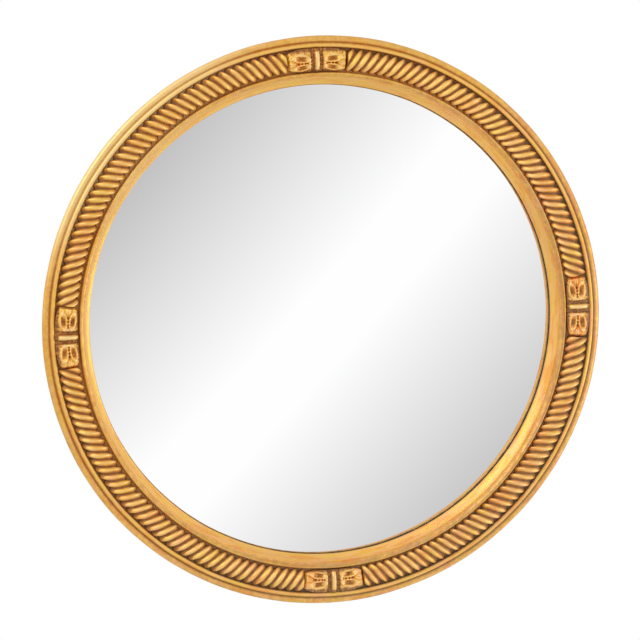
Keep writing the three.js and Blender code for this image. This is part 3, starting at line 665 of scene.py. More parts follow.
def new_material(name):
    """A fresh material with one Principled BSDF: the material, its nodes and the shader."""
    material = bpy.data.materials.new(name)
    material.use_nodes = True
    shader = material.node_tree.nodes["Principled BSDF"]
    return material, Nodes(material.node_tree), shader


def dress(n, shader, made, depth):
    """Links a group's colour, roughness and height to a shader, with bumps of a depth in metres."""
    n.put(shader.inputs["Base Color"], made["Color"])
    n.put(shader.inputs["Roughness"], made["Roughness"])
    n.put(shader.inputs["Normal"], n.bump(made["Height"], depth))


def gilt(name, wash, rub_and_highlight, bole, dust, edge):
    """Gilding with its own amounts of wash and painted shade, of rubbing and painted highlight, of worn
    bole, of greying and of painted highlight along the upper left edge.
    """
    c = bpy.context.scene.mirror_finish
    material, n, shader = new_material(name)
    relief = n.add("Attribute", attribute_name="relief").outputs["Fac"]
    across = n.add("Attribute", attribute_name="across").outputs["Fac"]
    values = {
        "Gold": c.gold, "Warm": c.warm_gold, "Olive": c.olive_gold, "Rose": c.rose_gold,
        "Pale": c.pale_gold, "Bole": c.bole, "Amber": c.amber, "Wash and shade": c.wash, "Greying": c.dust,
        "Relief": relief, "Across": across, "Wash and shade amount": wash, "Rub and highlight amount": rub_and_highlight,
        "Bole amount": bole, "Greying amount": dust, "Edge highlight amount": edge,
    }
    patina = n.group(gilt_patina(), values)
    n.put(shader.inputs["Metallic"], patina["Metallic"])
    dress(n, shader, patina, 0.00009)
    return material


def wood(name, light, place, depth, coarseness):
    """Bare or washed wood. Its place is Object, or the name of a UV map that follows the grain."""
    c = bpy.context.scene.mirror_finish
    material, n, shader = new_material(name)
    if place == "Object":
        where = n.object_place()
    else:
        where = n.add("UVMap", uv_map=place).outputs[0]
    values = {"Place": where, "Light": light, "Dark": c.dark_grain, "Depth": depth}
    dress(n, shader, n.group(wood_grain(), values), coarseness)
    return material


def metal(name, colour, age):
    """Dulled brass or plated steel."""
    c = bpy.context.scene.mirror_finish
    material, n, shader = new_material(name)
    relief = n.add("Attribute", attribute_name="relief").outputs["Fac"]
    values = {"Metal": colour, "Tarnish": c.tarnish, "Relief": relief, "Age": age}
    dress(n, shader, n.group(aged_metal(), values), 0.00003)
    shader.inputs["Metallic"].default_value = 1.0
    return material


def silvered_glass():
    """Polished silvering that mirrors its surroundings."""
    material, _, shader = new_material("silvered glass")
    shader.inputs["Base Color"].default_value = (*bpy.context.scene.mirror_finish.silver, 1.0)
    shader.inputs["Metallic"].default_value = 1.0
    shader.inputs["Roughness"].default_value = 0.012
    return material


def backing_paint():
    """Dull grey paint behind the silvering."""
    material, n, shader = new_material("backing paint")
    streak = n.noise(n.stretched(n.object_place(), (30.0, 30.0, 160.0)), 1.0, 3.0)
    base = bpy.context.scene.mirror_finish.backing
    n.put(shader.inputs["Base Color"], n.mix(streak, base, tuple(1.5 * c for c in base)))
    shader.inputs["Roughness"].default_value = 0.7
    return material


def black_felt():
    """Pressed felt: short fibres every way."""
    material, n, shader = new_material("black felt")
    base = bpy.context.scene.mirror_finish.felt
    place = n.object_place()
    fibre = n.noise(place, 3200.0, 4.0, 0.7)
    lint = n.noise(place, 700.0, 2.0)
    colour = n.mix(n.step(fibre, 0.4, 0.75), base, tuple(2.6 * c for c in base))
    linty = n.times(n.step(lint, 0.6, 0.8), 0.3)
    n.put(shader.inputs["Base Color"], n.mix(linty, colour, (0.09, 0.085, 0.08)))
    n.put(shader.inputs["Normal"], n.bump(fibre, 0.0004))
    shader.inputs["Roughness"].default_value = 0.95
    shader.inputs["Sheen Weight"].default_value = 0.25
    return material


def finish(name):
    """A finish by name, made the first time that it is asked for."""
    if name in bpy.data.materials:
        return bpy.data.materials[name]
    c = bpy.context.scene.mirror_finish
    makers = {
        "gilt moulding": lambda: gilt(name, 0.8, 0.4, 0.3, 0.8, 0.55),
        "gilt rope": lambda: gilt(name, 0.95, 0.35, 0.2, 0.3, 0.0),
        "gilt clasp": lambda: gilt(name, 0.95, 0.65, 0.3, 0.35, 0.0),
        "ochre wood": lambda: wood(name, c.ochre, "grain", 0.5, 0.0002),
        "pine": lambda: wood(name, c.pine, "Object", 0.5, 0.0002),
        "plywood": lambda: wood(name, c.plywood, "Object", 0.55, 0.00012),
        "brass": lambda: metal(name, c.brass, 0.6),
        "zinc steel": lambda: metal(name, c.steel, 0.22),
        "silvered glass": silvered_glass,
        "backing paint": backing_paint,
        "black felt": black_felt,
    }
    return makers[name]()


# ---- Turned frame -------------------------------------------------------------------


# Relief along each run of the moulding, from the back edge over the front to the glass. Low relief brings
# wash with painted shade, and the channel, the roll by the rope and the lip's wall are set low as painted
# shade in these recesses
TONES = {
    "side": (0.5, 0.42),
    "outer bead": (0.35, 0.37, 0.41, 0.43, 0.42, 0.33),
    "rim bead": (0.32, 0.4, 0.66, 0.34, 0.18),
    "channel": (0.16, 0.26, 0.4, 0.46),
    "roll edge": (0.4, 0.42),
    "roll": (0.38, 0.4, 0.44, 0.47),
    "slope": (0.5, 0.54, 0.58, 0.6, 0.62),
    "lip": (0.55, 0.35),
    "wall": (0.26, 0.2),
}


def toned(run, tones):
    """Spreads a run's tones evenly over its points."""
    points = []
    for i, (radius, height) in enumerate(run):
        at = i / (len(run) - 1) * (len(tones) - 1)
        low = min(int(at), len(tones) - 2)
        points.append((radius, height, tones[low] + (tones[low + 1] - tones[low]) * (at - low)))
    return points


def gilded_section(scene, lines):
    """The moulding's section from the back edge, over the front, to the glass's seat.

    It gives (radius, height, relief) for each point: relief is 1 on a rubbed crest, which also carries a
    painted highlight, and 0 in the bottom of a groove, where the dark wash and painted shade stay."""
    m = scene.mirror_moulding
    side = (lines.back_edge, m.back_edge)
    bead = arc(lines.outer_bead, m.widest, m.outer_bead, OUTER_BEAD_ARC[0], OUTER_BEAD_END, 18)
    rim = arc(lines.rim_bead, lines.rim_height, m.rim_bead, RIM_BEAD_START, math.pi, 16)
    inner_wall = lines.roll_top - m.roll_edge - lines.channel_floor
    channel = [(lines.channel_outer, lines.channel_floor)]
    channel += [
        (lines.channel_inner - m.channel_batter * up, lines.channel_floor + inner_wall * up)
        for up in (0.0, 0.3, 0.6)
    ]
    roll_middle = lines.roll_outer - m.roll_edge
    edge = arc(roll_middle, lines.roll_top - m.roll_edge, m.roll_edge, 0.0, math.pi / 2, 6)
    width = m.roll - m.roll_edge
    roll = arc(roll_middle, lines.slope_head_height, width, math.pi / 2, math.pi, 14, m.roll_drop)[1:]
    head = (lines.slope_head, lines.slope_head_height)
    foot = (lines.slope_foot, lines.lip_height)
    slope = bow(head, foot, -m.slope_bulge, 12)
    land = m.lip_land
    lip = arc(lines.sight + land, lines.lip_height - land, land, math.pi / 2, math.pi, 5)[1:]
    wall = [(lines.sight, lines.lip_height - 1.5 * land), (lines.sight, lines.seat)]
    hollow = bow(side, bead[0], -m.side_hollow, 14)[:-1]
    runs = (hollow, bead, rim, channel, edge, roll, slope, lip, wall)
    return [point for run, tones in zip(runs, TONES.values()) for point in toned(run, tones)]


BACK_CORNER = 0.0006  # rounding of the ring's back edge
BACK_STEPS = 8


def bare_section(scene, lines):
    """The bare wood: from the glass's seat through the rebate and over the back."""
    m = scene.mirror_moulding
    corner = BACK_CORNER
    width = lines.back_edge - corner - lines.ledge
    return [
        (lines.sight, lines.seat),
        (lines.rebate, lines.seat),
        (lines.rebate, lines.ledge_height),
        (lines.ledge, lines.ledge_height),
        (lines.ledge, 0.0),
        *[(lines.ledge + width * i / BACK_STEPS, 0.0) for i in range(1, BACK_STEPS + 1)],
        *arc(lines.back_edge - corner, corner, corner, -math.pi / 2, 0.0, 4)[1:],
        (lines.back_edge, m.back_edge),
    ]


def lay_grain(bm, segments):
    """A UV map in metres whose u runs along each glued length of the ring."""
    layer = bm.loops.layers.uv.new("grain")
    reach = 2 * math.pi / segments
    for face in bm.faces:
        centre = face.calc_center_median()
        number = math.floor(math.atan2(centre.y, centre.x) / reach)
        middle = (number + 0.5) * reach
        along = Vector((-math.sin(middle), math.cos(middle)))
        for loop in face.loops:
            flat = loop.vert.co.xy
            loop[layer].uv = (flat.dot(along) + number, flat.dot(Vector((along.y, -along.x))))


STRAY_PITCH = 28.0  # waves to the metre


def stray(bm, amount):
    """Moves points a little and only inwards, as hand-worked gesso strays from a true turning."""
    for vert in bm.verts:
        place = vert.co
        radial = Vector((place.x, place.y, 0.0)).normalized()
        quick = noise.noise(place * STRAY_PITCH) - 1.0
        slow = noise.noise(place * STRAY_PITCH * 0.3 + Vector((7.0, 3.0, 1.0))) - 1.0
        vert.co = place + radial * amount * 0.5 * (quick + slow)


class MIRROR_OT_turned_frame(bpy.types.Operator):
    """Turn the gilded ring with its mouldings, rebate and glued-up back"""

    bl_idname = "mirror_part.turned_frame"
    bl_label = "Turned frame"

    def execute(self, context):
        scene = context.scene
        lines = Lines(scene)
        m = scene.mirror_moulding
        bm = bmesh.new()
        turn_section(bm, gilded_section(scene, lines), m.turns)
        for face in turn_section(bm, bare_section(scene, lines), m.turns):
            face.material_index = 1
        close_up(bm)
        lay_grain(bm, m.segments)
        stray(bm, m.unevenness)
        materials = [finish("gilt moulding"), finish("ochre wood")]
        add_piece("turned_frame", bm, materials, "frame_ring")
        return {"FINISHED"}


# ---- Rope band ----------------------------------------------------------------------

# each length's middle in degrees, and which way its strands are laid
ROPES = {
    "top_right": (45, -1),
    "top_left": (135, 1),
    "bottom_left": (225, -1),
    "bottom_right": (315, 1),
}
STRAND_COLUMNS = 12  # steps across a strand
STRAND_ROWS = 26  # steps along it, from edge to edge
CREST_POWER = 0.95
INNER_SHADE = (0.1, 0.5)  # painted shade: how far over the band, in radians, the strands darken towards each edge
OUTER_SHADE = (2.65, 2.05)


def smooth_step(value, low, high):
    """0 at low and 1 at high, eased at both ends."""
    part = min(max((value - low) / (high - low), 0.0), 1.0)
    return part * part * (3 - 2 * part)


def rope_band(scene, lines, middle, hand):
    """One length of rope: strands laid slantwise over a half-round band."""
    o = scene.mirror_ornament
    pitch = 2 * math.pi / o.strands
    clasp = o.clasp_length / 2 / lines.rope
    reach = math.pi / 2 - 2 * clasp - 2 * o.gap / (lines.rope - o.rope_width / 2)
    strands = 2 * math.ceil(((reach + o.twist) / pitch + 1) / 2)
    rows = STRAND_ROWS
    bm = bmesh.new()
    relief = bm.verts.layers.float.new("relief")
    # the grid's last row falls on its first, along the band's flat underside
    bmesh.ops.create_grid(bm, x_segments=strands * STRAND_COLUMNS, y_segments=rows + 1, size=1.0)
    for vert in bm.verts:
        place = (vert.co.x + 1) / 2 * strands
        row = round((vert.co.y + 1) / 2 * (rows + 1)) % (rows + 1)
        over = math.pi * row / rows
        along = (place - strands / 2) * pitch
        wander = noise.noise(Vector((along * 70 + middle, over * 0.8, hand)))
        crest = (0.5 - 0.5 * math.cos(2 * math.pi * (place + 0.05 * wander))) ** CREST_POWER
        inset = o.strand_depth * (1 + 0.15 * wander) * (1 - crest)
        radius = lines.rope - (o.rope_width / 2 - inset) * math.cos(over)
        height = lines.rope_base + (o.rope_height - inset) * math.sin(over)
        turn = along + o.twist * (over / math.pi - 0.5) * hand
        vert.co = (radius * math.cos(turn), radius * math.sin(turn), height)
        # painted shade: the relief, and with it the colour, falls towards both edges of the band, where the
        # strands lie in shade
        lit = smooth_step(over, *INNER_SHADE) * smooth_step(over, *OUTER_SHADE)
        vert[relief] = 0.13 + 0.68 * crest * (0.3 + 0.7 * lit)
    bmesh.ops.remove_doubles(bm, verts=bm.verts, dist=WELD)
    for side in (-1, 1):
        edge = reach / 2 * side
        normal = (-math.sin(edge) * side, math.cos(edge) * side, 0.0)
        everything = list(bm.verts) + list(bm.edges) + list(bm.faces)
        bmesh.ops.bisect_plane(bm, geom=everything, plane_co=(0, 0, 0), plane_no=normal, clear_outer=True)
    fill_holes(bm)
    close_up(bm)
    bm.transform(Matrix.Rotation(math.radians(middle), 4, "Z"))
    return bm


class MIRROR_OT_rope_bands(bpy.types.Operator):
    """Lay the four lengths of cast rope between the clasps"""

    bl_idname = "mirror_part.rope_bands"
    bl_label = "Rope bands"

    def execute(self, context):
        lines = Lines(context.scene)
        for place, (middle, hand) in ROPES.items():
            bm = rope_band(context.scene, lines, middle, hand)
            add_piece(
                f"rope_{place}", bm, [finish("gilt rope")], f"rope_band_{place}",
                sharp_from=75,
            )
        return {"FINISHED"}


# ---- Leaf clasps --------------------------------------------------------------------

# where each clasp is, and how far its leaves' vein lies from the band's middle towards the glass, in mm
CLASPS = {"right": (0, 1.4), "top": (90, 3.2), "left": (180, 0.8), "bottom": (270, 1.8)}
CLASP_STEPS = (220, 96)  # along and across a clasp


def hump(distance):
    """A smooth hump that is 1 at distance 0 and 0 from distance 1 on."""
    return (1 - distance**2) ** 2 if distance < 1 else 0.0


def almond(x, y, centre_x, centre_y, half_width, half_length, lean=0.0):
    """Distance in a pointed oval: 0 at its middle and 1 on its outline."""
    dx, dy = x - centre_x - lean * (y - centre_y), y - centre_y
    along = abs(dy) / half_length
    narrow = max(1 - along**2, 0.02)
    return max(abs(dx) / (half_width * narrow), along)


def bell(distance):
    """A bell that is 1 at distance 0 and fades out."""
    return math.exp(-(distance**2))


# A leaf as it is carved, in millimetres: half its width, and its length from the groove to its tip
LEAF_HALF_WIDTH = 12.3
LEAF_LENGTH = 27.0
# Pointed ovals of the carving: middle across and along, half width and half length
LOBE = (4.9, 10.8, 5.0, 11.6)
LOBE_LEAN = 0.12
LOBE_RIM = 0.74  # where in the oval the raised rim's crest lies, and how high and wide it is
LOBE_RIM_RISE = 2.1
LOBE_RIM_WIDTH = 0.27
LOBE_FLOOR = 0.62  # where in the oval the sunk middle ends, and how deep it is
LOBE_SINK = 2.3
VEIN_DEPTH = 3.0
VEIN_HALF_WIDTH = 1.3
VEIN_HOLLOWS = 3.6  # from one drilled hollow to the next
VEIN_FOOT = (2.5, 5.0)  # the vein deepens over these lengths and runs out over the others
VEIN_HEAD = (18.5, 16.0)
SIDE_TIPS_FROM = 9.0
SIDE_TIP_RISE = 1.8
SIDE_TIP_SINK = 1.4
SIDE_TIP_TURN = 0.48  # radians to the millimetre, one tip to each half turn
TIP = (0.0, 22.0, 3.2, 5.6)
TIP_RISE = 2.2
FOLD_MIDDLE = 6.9
FOLD = (21.5, 2.6, 5.2)
FOLD_RISE = 1.9
FOLD_CREASE = 1.6
BEAD_RADIUS = 2.1
BEAD_PLACE = 1.9
OVAL_FOOT = 1.2  # how far past its outline an oval's hump runs out


def leaf_carving(x, y):
    """Height in millimetres over a leaf's ground: x across from its vein, y outwards from the groove."""
    side = abs(x)
    # two lobes that lean apart, with thick raised rims round sunk middles
    lobe = almond(side, y, *LOBE, LOBE_LEAN)
    height = LOBE_RIM_RISE * bell((lobe - LOBE_RIM) / LOBE_RIM_WIDTH) - LOBE_SINK * hump(lobe / LOBE_FLOOR)
    # the vein between them, drilled in a row of small hollows
    drilled = 0.65 + 0.35 * math.cos(2 * math.pi * y / VEIN_HOLLOWS)
    reach = smooth_step(y, *VEIN_FOOT) * smooth_step(y, *VEIN_HEAD)
    height -= VEIN_DEPTH * bell(x / VEIN_HALF_WIDTH) * drilled * reach
    # small leaf tips down each side
    if side > SIDE_TIPS_FROM:
        height = max(height, SIDE_TIP_RISE * abs(math.sin(y * SIDE_TIP_TURN)) - SIDE_TIP_SINK)
    # the leaf's own tip between two folded ones
    tip = almond(x, y, *TIP)
    if tip < OVAL_FOOT:
        height = max(height, TIP_RISE * hump(tip / OVAL_FOOT) - 0.9 * bell(x / 0.5))
    fold = almond(side, y, FOLD_MIDDLE - 0.3 * (y - FOLD[0]), *FOLD)
    if fold < OVAL_FOOT:
        height = max(height, FOLD_RISE * hump(fold / OVAL_FOOT) - FOLD_CREASE * bell(fold / 0.34))
    # a bead at the vein's foot
    distance = math.hypot(x, y - BEAD_PLACE) / BEAD_RADIUS
    if distance < 1:
        height = max(height, BEAD_RADIUS * math.sqrt(1 - distance**2) + 0.1)
    return height


# The clasp under its carving, in millimetres
TIP_NARROWING = 5.2  # how much narrower than the band a leaf's tip is
GROOVE_SINK = 4.8  # the bar's grooves below the rope's crest
BAR_RISE = 5.8  # the bar over its grooves
LEAF_SINK = 3.3  # the leaf's ground below the rope's crest, and its swell in the middle
LEAF_SWELL = 1.2
LEAF_FOOT = 1.2  # length over which a leaf climbs out of the groove
END_ROUNDING = 3.0
RIM_SHARE = 0.04  # share of the half width over which the sides round down
SHADED_FLANKS = ((6.8, 10.5), (8.5, 11.5))  # painted shade: where the clasp darkens towards its outer and its inner side
CASTING_WEAR = 0.3


def clasp_point(scene, lines, u, v, key, inwards):
    """A point of a clasp and its relief: u runs along it and v across it, from -1 to 1."""
    o = scene.mirror_ornament
    half, end, bar = (1000 * whole / 2 for whole in (o.rope_width, o.clasp_length, o.bar_width))
    crest = o.rope_height * 1000
    y = abs(u) * end
    leaf_y = y - bar - o.bar_groove * 1000
    leaf_end = end - bar - o.bar_groove * 1000
    # the outline keeps the band's width and rounds in at the tip
    width = half - TIP_NARROWING * max(leaf_y / leaf_end, 0.0) ** 4
    x = math.sin(v * math.pi / 2) * width
    dome = math.sqrt(max(1 - (0.95 * x / half) ** 2, 0.0))
    ground = 0.3 + 0.7 * dome
    groove = (crest - GROOVE_SINK) * ground
    ridge = math.sqrt(max(1 - (y / (bar + 0.3)) ** 2.6, 0.0))
    z = groove + BAR_RISE * ridge * (0.35 + 0.65 * dome)
    # painted shade: the bar's tone falls on the clasp's flanks
    flank = smooth_step(x, *SHADED_FLANKS[0]) + smooth_step(-x, *SHADED_FLANKS[1])
    tone = 0.2 + 0.7 * ridge * (1 - flank)
    if leaf_y > 0:
        belly = math.sin(math.pi * min(leaf_y / leaf_end, 1.0)) ** 0.6
        leaf = (crest - LEAF_SINK + LEAF_SWELL * belly) * ground
        across = (x + inwards * dome) * LEAF_HALF_WIDTH / half
        carved = leaf_carving(across, leaf_y * LEAF_LENGTH / leaf_end)
        leaf += carved * (0.4 + 0.6 * dome)
        rise = smooth_step(leaf_y, 0.0, LEAF_FOOT)
        z = groove * (1 - rise) + leaf * rise
        z *= math.sqrt(max(min((end - y) / END_ROUNDING, 1.0), 0.0))
        # painted shade: the leaf's tone falls on its flanks too
        tone = 0.2 + rise * (0.24 + (0.19 if carved > 0 else 0.09) * carved) - 0.26 * flank
    fall = min((1 - abs(v)) / RIM_SHARE, 1.0)
    z *= math.sqrt(max(fall, 0.0))
    wear = noise.noise(Vector((x * 0.5, u * end * 0.5, key * 9.0)))
    z += CASTING_WEAR * wear * fall
    tone += 0.18 * wear
    if abs(u) > 0.9999 or abs(v) > 0.9999:
        z = 0.0
    return x / 1000, u * end / 1000, max(z, 0.0) / 1000, min(max(tone, 0.0), 1.0)


class MIRROR_OT_leaf_clasps(bpy.types.Operator):
    """Model the four cast clasps: a cross bar between two leaves"""

    bl_idname = "mirror_part.leaf_clasps"
    bl_label = "Leaf clasps"

    def execute(self, context):
        scene = context.scene
        lines = Lines(scene)
        for key, (place, (degrees, inwards)) in enumerate(CLASPS.items()):
            bm = bmesh.new()
            relief = bm.verts.layers.float.new("relief")
            bmesh.ops.create_grid(bm, x_segments=CLASP_STEPS[0], y_segments=CLASP_STEPS[1], size=1.0)
            for vert in bm.verts:
                x, y, z, vert[relief] = clasp_point(scene, lines, vert.co.x, vert.co.y, key, inwards)
                radius = lines.rope + x
                turn = y / lines.rope + math.radians(degrees)
                vert.co = (radius * math.cos(turn), radius * math.sin(turn), lines.rope_base + z)
            under = bmesh.ops.contextual_create(bm, geom=[e for e in bm.edges if e.is_boundary])["faces"]
            bmesh.ops.triangulate(bm, faces=under)
            close_up(bm)
            add_piece(
                f"leaf_clasp_{place}", bm, [finish("gilt clasp")], f"clasp_{place}",
                sharp_from=60,
            )
        return {"FINISHED"}


# ---- Convex glass -------------------------------------------------------------------

GLASS_STEPS = 192
GLASS_RINGS = 40
GLASS_CHAMFER = 0.0004
BLOCKS = 8
BLOCK_EDGE = 0.0005


def glass_height(scene, lines, radius, inset):
    """Height of the glass's front, or of its back at the glass's thickness, at a radius."""
    curve = scene.mirror_glass.curve
    rise = math.sqrt((curve - inset) ** 2 - radius**2) - math.sqrt(curve**2 - lines.glass**2)
    return lines.glass_rim + rise


class MIRROR_OT_convex_glass(bpy.types.Operator):
    """Make the convex glass, silvered in front of a painted back"""

    bl_idname = "mirror_part.convex_glass"
    bl_label = "Convex glass"

    def execute(self, context):
        scene = context.scene
        lines = Lines(scene)
        thick = scene.mirror_glass.thickness
        radii = [(lines.glass - GLASS_CHAMFER) * i / GLASS_RINGS for i in range(GLASS_RINGS + 1)]
        front = [(r, glass_height(scene, lines, r, 0.0)) for r in radii]
        back = [(r, glass_height(scene, lines, r, thick)) for r in reversed(radii)]
        rim = [
            (lines.glass, glass_height(scene, lines, lines.glass, 0.0) - GLASS_CHAMFER),
            (lines.glass, glass_height(scene, lines, lines.glass, thick) + GLASS_CHAMFER),
        ]
        bm = bmesh.new()
        turn_section(bm, front, GLASS_STEPS)
        for face in turn_section(bm, [front[-1], *rim, *back], GLASS_STEPS):
            face.material_index = 1
        close_up(bm)
        materials = [finish("silvered glass"), finish("backing paint")]
        add_piece("convex_glass", bm, materials, "mirror_glass", sharp_from=25)
        return {"FINISHED"}


class MIRROR_OT_glass_bedding(bpy.types.Operator):
    """Make the felt strip in front of the glass's rim and the glued blocks behind it"""

    bl_idname = "mirror_part.glass_bedding"
    bl_label = "Felt strip and blocks"

    def execute(self, context):
        scene = context.scene
        lines = Lines(scene)
        g = scene.mirror_glass
        gap = scene.mirror_ornament.gap
        outer = lines.rebate - 2 * gap
        inner = outer - g.strip_width
        top = lines.seat - gap
        section = [
            (inner, top),
            (outer, top),
            (outer, lines.glass_rim + gap),
            (lines.glass, lines.glass_rim + gap),
            (inner, glass_height(scene, lines, inner, 0.0) + gap),
            (inner, top),
        ]
        strip = turned(section, GLASS_STEPS)
        add_piece("felt_seat", strip, [finish("black felt")], "glass_seat_strip")
        bottom = lines.ledge_height
        top = glass_height(scene, lines, lines.glass, g.thickness) - gap
        half = g.block_length / 2 / outer
        turns = [half * (i / 4 - 1) for i in range(9)]
        outline = [(outer - g.block_width, -g.block_length / 2)]
        outline += [(outer * math.cos(t), outer * math.sin(t)) for t in turns]
        outline += [(outer - g.block_width, g.block_length / 2)]
        for number in range(BLOCKS):
            bm = prism(outline, top - bottom)
            ease(bm, BLOCK_EDGE)
            turn = Matrix.Rotation(number * 2 * math.pi / BLOCKS, 4, "Z")
            bm.transform(turn @ Matrix.Translation((0, 0, bottom)))
            name = f"glazing_block_{number + 1}"
            add_piece(f"wood_block_{number + 1}", bm, [finish("pine")], name)
        return {"FINISHED"}


# ---- Back panel and screws ----------------------------------------------------------

PANEL_SCREWS = 8
PANEL_STEPS = 288
PANEL_EDGE = 0.0004
SCREW_STEPS = 32
SLOT_WIDTH = 0.0009
SLOT_DEPTH = 0.0011
HEAD_LAND = 0.0002
# A wood screw's parts as shares of its shank's thickness
CORE_WIDTH = 0.72
POINT_LENGTH = 1.3
THREAD_DEPTH = 0.34
# and as shares of its length
SHANK_END = 0.35
CORE_START = 0.37
THREAD_START = 0.42
THREAD_REACH = 0.6
THREAD_PITCH = 0.0013
THREAD_STEPS = 16


def thread(radius, start, turns):
    """A screw's thread: a ridge wound up round the z axis."""
    bm = bmesh.new()
    inner = radius - radius * THREAD_DEPTH
    flank = THREAD_PITCH * 0.3
    corners = [(inner, -flank), (radius, 0.0), (inner, flank)]
    verts = [bm.verts.new((r, 0.0, start + z)) for r, z in corners]
    edges = [bm.edges.new((verts[i], verts[(i + 1) % 3])) for i in range(3)]
    bmesh.ops.spin(
        bm, geom=verts + edges, cent=(0, 0, 0), axis=(0, 0, 1), dvec=(0, 0, THREAD_PITCH / THREAD_STEPS),
        angle=2 * math.pi * turns, steps=THREAD_STEPS * turns, use_merge=False,
    )
    fill_holes(bm)
    close_up(bm)
    return bm


def slotted(bm, reach, top):
    """Cuts a driver's slot into the head of a screw whose head faces -z."""
    slot = bmesh.new()
    bmesh.ops.create_cube(slot, size=1.0)
    bmesh.ops.scale(slot, verts=slot.verts, vec=(reach, SLOT_WIDTH, 2 * SLOT_DEPTH))
    bmesh.ops.translate(slot, verts=slot.verts, vec=(0, 0, top))
    return cut(bm, slot)


def woodscrew(scene, head, total, head_radius):
    """A slotted wood screw along +z: its head's section, then a threaded shank to a point."""
    shank = scene.mirror_back.shank / 2
    core = shank * CORE_WIDTH
    point = shank * 2 * POINT_LENGTH
    section = [*head, (shank, total * SHANK_END), (core, total * CORE_START), (core, total - point)]
    bm = slotted(turned([*section, (0.0, total)], SCREW_STEPS), 3 * head_radius, head[0][1])
    turns = int((total * THREAD_REACH - point * THREAD_REACH) / THREAD_PITCH)
    mesh = mesh_of("ridge", thread(shank, total * THREAD_START, turns))
    bm.from_mesh(mesh)
    bpy.data.meshes.remove(mesh)
    return bm


def countersunk_head(scene):
    """Section of a countersunk head, flush at z = 0."""
    b = scene.mirror_back
    radius = b.head / 2
    return [(0.0, 0.0), (radius - HEAD_LAND, 0.0), (radius, HEAD_LAND), (b.shank / 2, b.head_height)]


def pan_head(scene):
    """Section of a domed head whose underside is at z = 0."""
    b = scene.mirror_back
    radius = b.pan_head / 2
    high = b.pan_height
    dome = arc(0.0, -high * 0.35, 1.0, -math.pi / 2, 0.0, 8)
    dome = [(x * radius, -high * 0.35 + (y + high * 0.35) * high * 0.65) for x, y in dome]
    return [*dome, (radius, 0.0), (b.shank / 2, 0.0)]


class MIRROR_OT_back_panel(bpy.types.Operator):
    """Make the plywood back and the eight screws that hold it"""

    bl_idname = "mirror_part.back_panel"
    bl_label = "Back panel"

    def execute(self, context):
        scene = context.scene
        lines = Lines(scene)
        b = scene.mirror_back
        gap = scene.mirror_ornament.gap
        radius = PANEL_HIGH.x
        thick = PANEL_HIGH.y - PANEL_LOW.y
        flat = radius - PANEL_EDGE
        section = [
            (0.0, 0.0), (flat, 0.0), (radius, PANEL_EDGE), (radius, thick - PANEL_EDGE), (flat, thick),
            (0.0, thick),
        ]
        panel = turned(section, PANEL_STEPS)
        mouth = b.head / 2 + gap
        hole = b.shank / 2 + gap
        sink = [
            (0.0, -gap), (mouth + gap, -gap), (mouth, gap), (hole, b.head_height + gap),
            (hole, thick + gap), (0.0, thick + gap),
        ]
        screw_radius = lines.rebate + scene.mirror_moulding.ledge / 2
        depth = SCREW_HIGH.y - SCREW_LOW.y
        for number in range(PANEL_SCREWS):
            turn = (number + 0.5) * 2 * math.pi / PANEL_SCREWS
            place = Matrix.Translation((screw_radius * math.cos(turn), screw_radius * math.sin(turn), 0.0))
            countersink = turned(sink, SCREW_STEPS)
            countersink.transform(place)
            panel = cut(panel, countersink)
            screw = woodscrew(scene, countersunk_head(scene), depth, b.head / 2)
            screw.transform(place @ Matrix.Rotation(number * 1.9 + 0.4, 4, "Z"))
            name = f"panel_screw_{number + 1}"
            add_piece(
                f"brass_screw_{number + 1}", screw, [finish("brass")], name,
                worn=True,
            )
        add_piece("plywood_back", panel, [finish("plywood")], "back_panel")
        return {"FINISHED"}


# ---- Strap hangers ------------------------------------------------------------------

EYE_WALL = 0.001  # thickness of the strap round its ring
LAYER_GAP = 0.00005  # between the strap's two layers
CUT_REACH = 0.01  # how far a cutter reaches past the strap on each side


def hanger_frame(side):
    """Where a hanger's hinge line is: x across the strap, y towards its ring, z forwards."""
    joint = HINGES[side]
    place = Vector(joint["pos_m"])
    across = Vector(joint["axis"]).normalized()
    forwards = Vector((0.0, -1.0, 0.0))
    along = forwards.cross(across)
    world = Matrix((across, along, forwards)).transposed().to_4x4()
    world.translation = place
    return STAND_UP.inverted() @ world


def folded_strap(scene):
    """A strip folded round the ring's leg, seen in the hinge's frame: eye at the origin."""
    b = scene.mirror_back
    gap = scene.mirror_ornament.gap
    eye = b.wire / 2 + gap + EYE_WALL / 2
    layer = b.strap / 2
    outer = b.wire / 2 + gap + EYE_WALL
    upper = outer - layer / 2
    lower = outer - b.strap + layer / 2
    meet = math.pi - math.asin(lower / eye)
    path = [(-b.strap_length, upper)]
    path += arc(0.0, 0.0, eye, math.pi / 2, meet - 2 * math.pi, 28)
    path += [(-b.strap_length, lower)]
    bm = bmesh.new()
    half = b.strap_width / 2
    verts = [bm.verts.new((-half, y, z)) for y, z in path]
    edges = [bm.edges.new(pair) for pair in zip(verts, verts[1:])]
    wide = bmesh.ops.extrude_edge_only(bm, edges=edges)["geom"]
    bmesh.ops.translate(bm, verts=points_in(wide), vec=(2 * half, 0, 0))
    bmesh.ops.recalc_face_normals(bm, faces=bm.faces)
    bmesh.ops.solidify(bm, geom=bm.faces[:], thickness=layer - LAYER_GAP)
    close_up(bm)
    return bm


def strap_plan(scene):
    """The strap's outline with its rounded end, as a tall prism to cut it with."""
    b = scene.mirror_back
    half, round_end, far = b.strap_width / 2, b.strap_end, b.strap_length
    corner = math.pi / 2
    outline = [(half, 0.004), (-half, 0.004)]
    outline += arc(-half + round_end, -far + round_end, round_end, 2 * corner, 3 * corner, 10)
    outline += arc(half - round_end, -far + round_end, round_end, 3 * corner, 4 * corner, 10)
    bm = prism(outline, 2 * CUT_REACH)
    bm.transform(Matrix.Translation((0, 0, -CUT_REACH)))
    return bm


